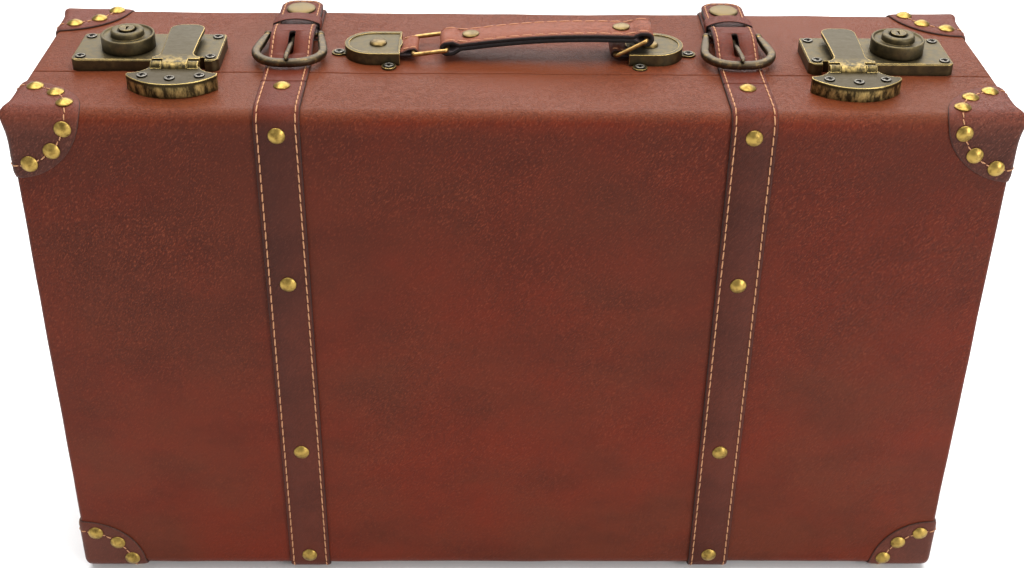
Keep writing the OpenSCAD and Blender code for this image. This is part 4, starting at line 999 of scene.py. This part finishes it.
# %% Cut the tongues, with a slot for the prong
slot_y = (-3 * mm, 13 * mm)
slot_r = 1.8 * mm
slot_turn = np.sin(np.linspace(0, quarter, 8))
stations = np.unique(np.round(np.concatenate([
    np.linspace(tongue_start, tongue_end - tip, 60),
    tongue_end - tip + tip * np.sin(np.linspace(0, quarter, 14)),
    slot_y[0] - slot_r * slot_turn, slot_y[1] + slot_r * slot_turn]), 7))
nearest = np.clip(stations, *slot_y)
slot_width = np.sqrt(np.maximum(slot_r ** 2 - (stations - nearest) ** 2, 0))
slot_width[slot_width < 0.05 * mm] = 0
tongue_width = tip_width(stations, tongue_half, tongue_end, tip)
for name, sx in sides.items():
    x = sx * strap_x
    path = np.stack([np.full(len(stations), x), stations, top + tongue_height(stations)], -1)
    parts = strip(path, tongue_width, tongue_t, slot_width)
    seam = tip_line(x, 10.3 * mm)
    up = np.cross(x_axis, tangents(path, False))
    up = np.stack([np.interp(seam[:, 1], stations, up[:, k]) for k in range(3)], -1)
    parts.append(stitches(seam, up, length=3.4 * mm, width=0.8 * mm, finish=sewn,
                          gap=0.55 * mm, tilt=0.06))
    make_piece(f"tongue_{name}_leather", parts, strip_finishes, f"flap_{name}", f"tongue_{name}")

# %% [markdown]
# The chape is the folded strip that holds the buckle: it starts under the tongue's tip, runs to
# the buckle's bar, turns round it and comes back on top. The prong stands in a slot of its fold.

# %% Fold the chapes
fold_r, chape_half, chape_end, chape_tip = 1.4 * mm, 12.4 * mm, tongue_end - 1 * mm, 7 * mm
turn = np.radians(np.linspace(-90, -270, 25))
fold = np.stack([buckle_y + fold_r * np.cos(turn), bar_z + fold_r * np.sin(turn)], -1)
run = np.concatenate([chape_end - chape_tip * (1 - np.cos(np.linspace(0, quarter, 8))),
                      np.linspace(chape_end - 9 * mm, buckle_y + 1 * mm, 16)])
lower = np.stack([run, np.full(len(run), bar_z - fold_r)], -1)
back_on = np.stack([np.linspace(buckle_y + 1 * mm, buckle_y + 8.6 * mm, 6),
                    np.linspace(bar_z + fold_r - 0.25 * mm, top + 5.0 * mm, 6)], -1)
flat = np.concatenate([lower, fold, back_on])
wide = np.full(len(flat), chape_half)
wide[:len(run)] = tip_width(run, chape_half, chape_end, chape_tip)
hole = np.where(np.arange(len(flat)) > len(run) - 2, 2.2 * mm, 0)
hole[flat[:, 0] > 22.4 * mm] = 0
for name, sx in sides.items():
    path = np.concatenate([np.full((len(flat), 1), sx * strap_x), flat], 1)
    make_piece(f"chape_{name}", strip(path, wide, 1 * mm, hole), strip_finishes, f"flap_{name}",
               f"buckle_chape_{name}")

# %% [markdown]
# The keeper is a band of thin leather bent into an arch. It is closed under the chape, so it lifts
# with the tongue that it holds. The tongue's brass cap is a disc on a shank, with a flat disc under
# the leather that presses on to its partner on the base.

# %% Keepers and caps
keeper_y, keeper_half, keeper_low, crown, arch = (
    36.5 * mm, 13.4 * mm, top + 2.8 * mm, top + 10.6 * mm, 31.5 * mm)
across = np.linspace(-keeper_half, keeper_half, 15)
arc = np.stack([across, crown - arch + np.sqrt(arch ** 2 - across ** 2)], -1)[::-1]
arc = np.concatenate([[(-keeper_half, keeper_low), (keeper_half, keeper_low)], arc])
band = oval(5 * mm, 0.5 * mm, 0.35, 20)
edge_height = band[:, 1] + np.roll(band[:, 1], -1)
band_finish = np.where(edge_height > 0.7 * mm, grain_side,
                       np.where(edge_height < -0.7 * mm, nap_side, cut_side))
cap_disc = [(0, 6.4), (8.3, 6.4), (8.6, 6.55), (8.8, 6.8), (8.75, 7.2), (8.45, 7.6), (7.9, 7.95),
            (7.2, 8.15), (5.5, 8.4), (3, 8.6), (0, 8.68)]
cap_shank = [(0, 2.8), (5.9, 2.8), (6, 2.9), (6, 3.3), (5.9, 3.4), (2.5, 3.4), (2.5, 3.5),
             (2.5, 6.6), (0, 6.6)]
for name, sx in sides.items():
    x = sx * strap_x
    loop = np.stack([x + arc[:, 0], np.full(len(arc), keeper_y), arc[:, 1]], -1)
    path = bent(loop, 0.9 * mm, 2 * mm, closed=True)
    make_piece(f"keeper_{name}_band", [carried(path, y_axis, band, True, band_finish)],
               [strap_leather, raw_edge, flesh_side], f"flap_{name}", f"keeper_{name}")
    at = (x, press_y, top)
    make_piece(f"cap_{name}", [turned(cap_disc, at, sides=48), turned(cap_shank, at, sides=32)],
               [cap_brass], f"flap_{name}", f"tongue_caps_{name}")

# %% [markdown]
# ## Buckles
# The frame is a thick wire, pressed flat on top and filed round at its edges, and bent into a wide
# D that narrows towards its bar. The prong has an eye round the bar and bends over the front.

# %% Shape the wires
heel_half, frame_half, frame_front, frame_r = 15.2 * mm, 21.7 * mm, -21 * mm, 2.3 * mm
frame_section = oval(frame_r, frame_r, 0.7, 24)
frame_section = frame_section * np.where(frame_section[:, 1:] > 0, [1, 0.86], [0.94, 1])
ball_r = 2.35
ball = [(ball_r * np.sin(a), -ball_r * np.cos(a)) for a in np.linspace(0, np.pi, 12)]
eye_tube = [(1.45, -1.3), (2.25, -1.3), (2.3, -1.2), (2.3, 1.2), (2.25, 1.3), (1.45, 1.3),
            (1.45, -1.3)]
heel = buckle_y / mm
prong_course = [(heel - 1.7, 0), (heel - 10.5, -0.8), (heel - 20.5, 1.7), (-18.5, 3.75),
                (-24.2, 3.4)]
print("the buckle's frame is", 2 * frame_half / mm, "mm wide, its bar", 2 * heel_half / mm)

# %% Bend the buckles and their prongs
for name, sx in sides.items():
    x = sx * strap_x
    corners = [(x - heel_half, buckle_y, bar_z), (x - frame_half, frame_front, bar_z),
               (x + frame_half, frame_front, bar_z), (x + heel_half, buckle_y, bar_z)]
    path = bent(corners, 16 * mm, 1.2 * mm)
    share = np.clip((buckle_y - path[:, 1]) / (12 * mm), 0, 1)[:, None, None]
    outline = frame_section[None] * (0.72 + 0.36 * share)
    at = (x, buckle_y, bar_z)
    parts = [carried(path, z_axis, outline[..., ::-1]),
             turned(pin(1.3, -heel_half / mm, heel_half / mm), at, x_axis, sides=20)]
    parts += [turned(ball, (x + end * heel_half, buckle_y, bar_z), sides=20) for end in (-1, 1)]
    make_piece(f"buckle_{name}_frame", parts, [buckle_brass], f"buckle_{name}", f"buckle_{name}")

    path = bent([(x, y * mm, bar_z + h * mm) for y, h in prong_course], 6 * mm, 0.8 * mm)
    along = np.linspace(0, 1, len(path))[:, None, None]
    point = np.clip((1 - along) * len(path) / 2.5, 0.15, 1) ** 0.5
    outline = oval(1.3 * mm, 1.3 * mm, 0.8, 16)[None] * point * [1, 0.92]
    parts = [carried(path, x_axis, outline), turned(eye_tube, at, x_axis, sides=28)]
    make_piece(f"prong_{name}_wire", parts, [buckle_brass], f"prong_{name}", f"prong_{name}")

# %% [markdown]
# ## Handle
# Two wire rings hold the grip, and each ring hangs in a leather loop riveted under a metal cap.
# A ring is a rectangle of wire that lies at its own angle, because the grip rests on the case.

# %% Rings
handle_y = 6 * mm
pivot = np.array([57.5, 5.0]) * mm
ring_long, ring_half, wire = 19.5 * mm, 13.25 * mm, 1.25 * mm
rests = {"left": np.radians(8), "right": np.radians(28)}
far_bar = {}
for name, sx in sides.items():
    near = np.array([sx * pivot[0], handle_y, top + pivot[1]])
    run = np.array([np.cos(rests[name]), 0, np.sin(rests[name])])
    far_bar[name] = near + ring_long * run
    across = y_axis * ring_half
    corners = [near - across, near - across + run * ring_long,
               near + across + run * ring_long, near + across]
    path = bent(corners, 1.6 * mm, 1.5 * mm, closed=True)
    parts = [carried(path, np.cross(run, y_axis), oval(wire, wire, 1, 16), True)]
    make_piece(f"ring_{name}_wire", parts, [ring_brass], f"ring_{name}", f"ring_{name}")

# %% [markdown]
# The grip is one long strap: it turns round both rings and lies on itself, sewn along both edges.
# Its course is therefore a closed line, drawn flat and then tilted to run from ring to ring.

# %% Grip
grip_run = far_bar["right"] - far_bar["left"]
grip_long = np.linalg.norm(grip_run)
along = grip_run / grip_long
over = np.cross(along, y_axis)
eye, room, layer = 2.05 * mm, 0.04 * mm, 2.4 * mm
taper, neck, grip_half, grip_seam, arch_high = 10 * mm, 3 * mm, 11.5 * mm, 9.1 * mm, 3 * mm


def on_grip(u, w, y=0.0):
    """A point of the grip, from the left ring's bar: u along it, w above its middle, y to the
    back. The middle is arched: half a sine wave."""
    w = np.asarray(w) + arch_high * np.sin(np.pi * np.clip(np.asarray(u) / grip_long, 0, 1))
    return (far_bar["left"] + np.asarray(u)[..., None] * along + w[..., None] * over
            + np.asarray(y)[..., None] * y_axis)


def eye_arc(centre, start, end):
    """Points of the fold round a ring's bar, between two angles in degrees."""
    turn = np.radians(np.linspace(start, end, 16))
    return np.stack([centre + eye * np.cos(turn), eye * np.sin(turn)], -1)


lies = taper * 0.7
corners = np.concatenate([
    [(lies, room), (grip_long - lies, room), (grip_long - neck, eye)],
    eye_arc(grip_long, 90, -90),
    [(grip_long - neck, -eye), (grip_long - lies, -room), (lies, -room), (neck, -eye)],
    eye_arc(0, 270, 90), [(neck, eye)]])
flat = bent(np.insert(corners, 1, 0, axis=1), 0, 2.5 * mm, closed=True)
loop = on_grip(flat[:, 0], flat[:, 2])
parts = strip(loop, grip_half, layer, closed=True, side=-y_axis, groove=2.4 * mm)
u = np.linspace(-2 * mm, grip_long + 2 * mm, 90)
opening = np.clip(np.maximum(taper - u, u - (grip_long - taper)) / (taper - neck), 0, 1)
height = layer + room + (eye - room) * opening - 0.1 * mm
for sign in (-1, 1):
    line = on_grip(u, height, sign * grip_seam)
    normals = np.broadcast_to(over, line.shape)
    parts.append(stitches(line, normals, length=6.4 * mm, width=0.95 * mm, finish=sewn,
                          gap=1.1 * mm, tilt=0.06 * sign))
make_piece("grip_strap", parts, [grip_leather, black_edge, flesh_side, grip_thread], "grip",
           "grip")

# %% [markdown]
# Domed rivets hold the grip's two layers together near each ring. Each has a head on both sides
# and a pin between them.

# %% Rivets of the grip
grip_dome = [(0, -0.4), (4.8, -0.4), (4.95, 0), (5, 0.2), (4.9, 0.45), (4.5, 0.7), (3.6, 0.95),
             (2.4, 1.05), (0, 1.1)]
from_ring, head_up = 13.5 * mm, 2.9
parts = []
for u in (from_ring, grip_long - from_ring):
    for way in (-1, 1):
        parts.append(turned(grip_dome, on_grip(u, way * head_up * mm), over * way, sides=28))
    parts.append(turned(pin(2, -head_up, head_up), on_grip(u, 0), over, sides=20))
make_piece("grip_rivet_domes", parts, [rivet_brass], "grip", "grip_rivets")

# %% [markdown]
# Each ring turns in a leather loop: a strip that lies on the case, folds round the ring's bar and
# runs back under the metal cap. A rivet goes down through cap, loop and case.

# %% Loops that hold the rings
loop_half, eye_r, t, tail = 10 * mm, 1.35 * mm, 1.4 * mm, 91 * mm
low = pivot[1] - eye_r - t
upper = low + t + 0.2 * mm
turn = np.radians(np.linspace(-90, -262, 20))
fold = np.stack([pivot[0] + eye_r * np.cos(turn), pivot[1] + eye_r * np.sin(turn)], -1)
flat = np.concatenate([
    np.linspace((tail, low + t), (pivot[0] + 1 * mm, low + t), 14), fold,
    [(60 * mm, pivot[1] + eye_r - 0.35 * mm), (63 * mm, upper + 0.35 * mm), (65 * mm, upper)],
    np.linspace((68 * mm, upper), (tail, upper), 8)])
seam_run = np.linspace(55.5, 64, 12)
seam_height = np.interp(seam_run, [55.5, 57.5, 61, 65], [7.3, 7.72, 6.9, 5.45])
for name, sx in sides.items():
    path = np.stack([sx * flat[:, 0], np.full(len(flat), handle_y), top + flat[:, 1]], -1)
    parts = strip(path, loop_half, t, side=-sx * y_axis, groove=2.0 * mm)
    line = np.stack([sx * seam_run * mm, np.full(12, handle_y), top + seam_height * mm], -1)
    for sign in (-1, 1):
        row = line + sign * 8.0 * mm * y_axis
        parts.append(stitches(row, np.tile(z_axis, (12, 1)), length=3.2 * mm, width=0.8 * mm,
                              finish=sewn, gap=0.7 * mm))
    make_piece(f"loop_{name}", parts, [grip_leather, raw_edge, flesh_side, thread], "base",
               f"handle_loop_{name}")

# %% Rivets of the caps
cap_x, cap_up = 78 * mm, 6.4 * mm
cap_dome = [(0, -0.6), (4.6, -0.6), (4.9, -0.2), (5, 0.1), (4.95, 0.5), (4.6, 1.0), (3.9, 1.45),
            (2.8, 1.72), (0, 1.8)]
parts = []
for sx in (-1, 1):
    parts.append(turned(cap_dome, (sx * cap_x, handle_y, top + cap_up), sides=28))
    parts.append(turned(pin(2, 0, 6.2), (sx * cap_x, handle_y, top), sides=20))
make_piece("cap_rivet_domes", parts, [rivet_brass], "base", "handle_cap_rivets")

# %% [markdown]
# ## Locks
# The lock cases, hasps and handle caps keep their CAD shape: castings and pressings with flat
# faces, which the worn brass finish softens at the edges. Only the round housing is drawn anew,
# so that its dish, its collar and the groove round the plug can be properly smooth.

# %% Turn the lock housings
lock_x, lock_y, lock_up = 218.5 * mm, -2 * mm, 7 * mm
housing = [(4.35, 0), (14.8, 0), (14.95, 0.15), (15, 0.5), (15, 7.2), (14.92, 7.6), (14.7, 7.85),
           (14.35, 7.98), (13.9, 7.95), (13.6, 7.7), (13.3, 7.2), (12.9, 7.0), (11, 6.9),
           (9.6, 6.88), (9.36, 7.0), (9.3, 7.3), (9.3, 9.2), (9.2, 9.75), (8.9, 10.2),
           (8.3, 10.5), (7.6, 10.58), (6.6, 10.5), (5.6, 10.25), (5.25, 10.05), (5.1, 9.2),
           (4.35, 9.1), (4.35, 0)]
for name, sx in sides.items():
    at = (sx * lock_x, lock_y, top + lock_up)
    make_piece(f"housing_{name}", [turned(housing, at, sides=72)], [lock_brass], "base",
               f"lock_boss_{name}")

# %% [markdown]
# ## Screws
# Each screw is a low round head with a cross pressed into it. The head is a disc of radius and
# angle whose height is the dome less the cross. Its place and size come from the CAD screws: the
# loose parts of each node, found by joining the corners of every triangle.

# %% Find the screws
def loose_parts(name):
    """Boxes of the parts of a CAD node that don't touch: labels spread along edges till they
    agree."""
    mesh = nodes[name].data
    place = np.empty(3 * len(mesh.vertices), np.float32)
    mesh.vertices.foreach_get("co", place)
    place = place.reshape(-1, 3)
    _, same = np.unique(np.round(place / (2 * weld_gap)).astype(np.int64), axis=0,
                        return_inverse=True)
    same = same.reshape(-1)
    ends = np.empty(2 * len(mesh.edges), np.int32)
    mesh.edges.foreach_get("vertices", ends)
    ends = same[ends].reshape(-1, 2)
    label, before = np.arange(same.max() + 1), None
    while before is None or (label != before).any():
        before = label
        low = np.minimum(label[ends[:, 0]], label[ends[:, 1]])
        label = label.copy()
        np.minimum.at(label, ends[:, 0], low)
        np.minimum.at(label, ends[:, 1], low)
        label = label[label]
    place, label = place.astype(float), label[same]
    return [(place[label == k].min(0), place[label == k].max(0)) for k in np.unique(label)]


screw_boxes = {half: loose_parts(f"{half}_screws") for half in ("base", "lid")}
for half, boxes in screw_boxes.items():
    sizes = np.ptp(boxes, axis=1)
    print(half, "screws:", len(boxes), "smallest and largest", sizes.min(0), sizes.max(0))


# %% Draw the screw heads
def screw(low, high, head=1.1 * mm):
    """A screw that fills a box. The height of its head is a dome, sqrt(1 - r^2), less a cross of
    two bars; below the rim comes the shank. The cross and the rim are painted black as shade: the
    shade in the recess of the cross and the shadow round the head."""
    middle, half = (low + high) / 2, (high[0] - low[0]) / 2
    tall = high[2] - low[2]
    up = np.sign(middle[2] - middle_z)
    share = np.array([0, 0.1, 0.18, 0.26, 0.34, 0.42, 0.5, 0.57, 0.63, 0.69, 0.78, 0.87, 0.95,
                      1.0, 1.0, 0.34, 0.34, 0.0])[:, None]
    angle = np.radians(np.arange(0, 360, 6.0) + 17)[None, :]
    u, v = share * np.cos(angle), share * np.sin(angle)
    bar_half, bar_reach, soft = 0.29, 0.72, 0.07
    bar = (np.clip((bar_half - np.minimum(abs(u), abs(v))) / soft, 0, 1)
           * np.clip((bar_reach - share) / soft, 0, 1))
    height = head * (0.4 + 0.6 * np.sqrt(np.maximum(1 - share ** 2, 0)) - bar * 0.7)
    height[-4:-2] = 0
    height[-2:] = head - tall
    end = middle[2] + up * (tall / 2 - head)
    points = np.stack([middle[0] + u * half, middle[1] + v * half, end + up * height], -1)
    pressed = (bar + np.roll(bar, -1, 1))[:-1] + (bar + np.roll(bar, -1, 1))[1:]
    # painted shade: the faces of the cross, and of the rim and shank below it, take the black
    # finish
    dark = pressed > 1.6
    dark[12:] = True
    faces = grid_faces(*height.shape, False, True)
    return part(points, faces, dark.reshape(-1).astype(int))


for half, boxes in screw_boxes.items():
    make_piece(f"{half}_screw_heads", [screw(*box) for box in boxes], [nickel, painted_shade_black],
               half, f"{half}_screws")

# %% [markdown]
# ## Finishes for the pieces that keep their CAD shape
# The boards, the pins, the hinges and the castings of the locks are already right as solids. They
# only need a material, and each gets one in place of the plain colour it came with.

# %% Give every visible CAD piece its finish
finish_of = {"hinge_pins": steel, "hasp_pins": lock_brass, "base_press_discs": buckle_brass}
for half in ("base", "lid"):
    finish_of |= {f"{half}_boards": board, f"{half}_hinge_leaves": lock_brass}
for name in sides:
    finish_of |= {f"lock_case_{name}": lock_brass, f"lock_plug_{name}": plug_brass,
                  f"lock_bolt_{name}": steel, f"hasp_base_{name}": rough_brass,
                  f"hasp_lever_{name}": lever_brass, f"handle_cap_{name}": lock_brass}
for name, material in finish_of.items():
    nodes[name].data.materials.clear()
    nodes[name].data.materials.append(material)
left_bare = [name for name, thing in nodes.items()
             if not thing.hide_render and name not in finish_of]
print("CAD pieces with a new finish:", len(finish_of), "left bare:", left_bare)

# %% [markdown]
# ## Studio
# The photograph is a cut-out on white: even light, no hard shadow. The case stands on a pale
# floor that is bright enough to read as white. Two large soft lights, one above and one behind,
# give the top its broad sheen and leave the front darker. Weaker ones at the front open the
# shadows, the right one more than the left.

# %% Floor
floor_mesh = bpy.data.meshes.new("floor")
floor_mesh.from_pydata([(-6, -4, 0), (6, -4, 0), (6, 9, 0), (-6, 9, 0)], [], [(0, 1, 2, 3)])
floor_piece = bpy.data.objects.new("floor", floor_mesh)
scene.collection.objects.link(floor_piece)
paper = Finish("floor_paper", Roughness=0.9, Specular_IOR_Level=0.0)
paper_tone = paper.mix(paper.noise(30), rgb(250, 250, 250), rgb(252, 252, 252))
floor_mesh.materials.append(paper.feed(Base_Color=paper_tone))
print("floor:", tuple(floor_piece.dimensions))


# %% Lights and sky
def soft_light(name, at, target, size, power):
    """A rectangular area light that faces a target."""
    data = bpy.data.lights.new(name, "AREA")
    data.shape, data.size, data.size_y, data.energy = "RECTANGLE", size[0], size[1], power
    lamp = bpy.data.objects.new(name, data)
    lamp.location = at
    away = lamp.location - Vector(target)
    lamp.rotation_euler = away.to_track_quat("Z", "Y").to_euler()
    scene.collection.objects.link(lamp)


soft_light("top_back", (0.2, 1.8, 1.5), (0, 0, 0.3), (2.6, 1.3), 42)
soft_light("overhead", (0, 0.1, 2.2), (0, 0, 0.1), (2.6, 1.8), 66)
soft_light("front_left", (-1.6, -1.9, 1.1), (0, 0, 0.2), (1.2, 1.2), 3)
soft_light("front_right", (1.7, -1.7, 1.0), (0.1, 0, 0.2), (1.0, 1.2), 31)
world = bpy.data.worlds.new("white_room")
world.use_nodes = True
sky = world.node_tree.nodes["Background"]
sky.inputs["Color"].default_value = (1, 1, 1, 1)
sky.inputs["Strength"].default_value = 0.46
scene.world = world
scene.view_settings.view_transform = "Standard"
print("lights:", sorted(light.name for light in bpy.data.lights))

# %% [markdown]
# ## Camera
# The camera was solved from the photograph: the eight outer corners of the case and the rows of
# tacks fix its place, its tilt and its lens.

# %% Place the camera
camera_place = (-0.01635, -0.78469, 0.6595)
yaw, pitch, roll = np.radians([1.2401, 31.855, 0.8408])
ahead = np.array([np.sin(yaw) * np.cos(pitch), np.cos(yaw) * np.cos(pitch), -np.sin(pitch)])
level = np.array([np.cos(yaw), -np.sin(yaw), 0])
upright = np.cross(level, ahead)
right = np.cos(roll) * level + np.sin(roll) * upright
up = -np.sin(roll) * level + np.cos(roll) * upright
pose = np.eye(4)
pose[:3, :3] = np.stack([right, up, -ahead], 1)
pose[:3, 3] = camera_place
lens = bpy.data.cameras.new("camera")
lens.lens, lens.sensor_width, lens.sensor_fit = 51.72, 36.0, "HORIZONTAL"
lens.clip_start, lens.clip_end = 0.01, 50
eye_point = bpy.data.objects.new("camera", lens)
eye_point.matrix_world = Matrix(pose.tolist())
scene.collection.objects.link(eye_point)
scene.camera = eye_point
print("camera at", camera_place, "with a lens of", lens.lens, "mm")
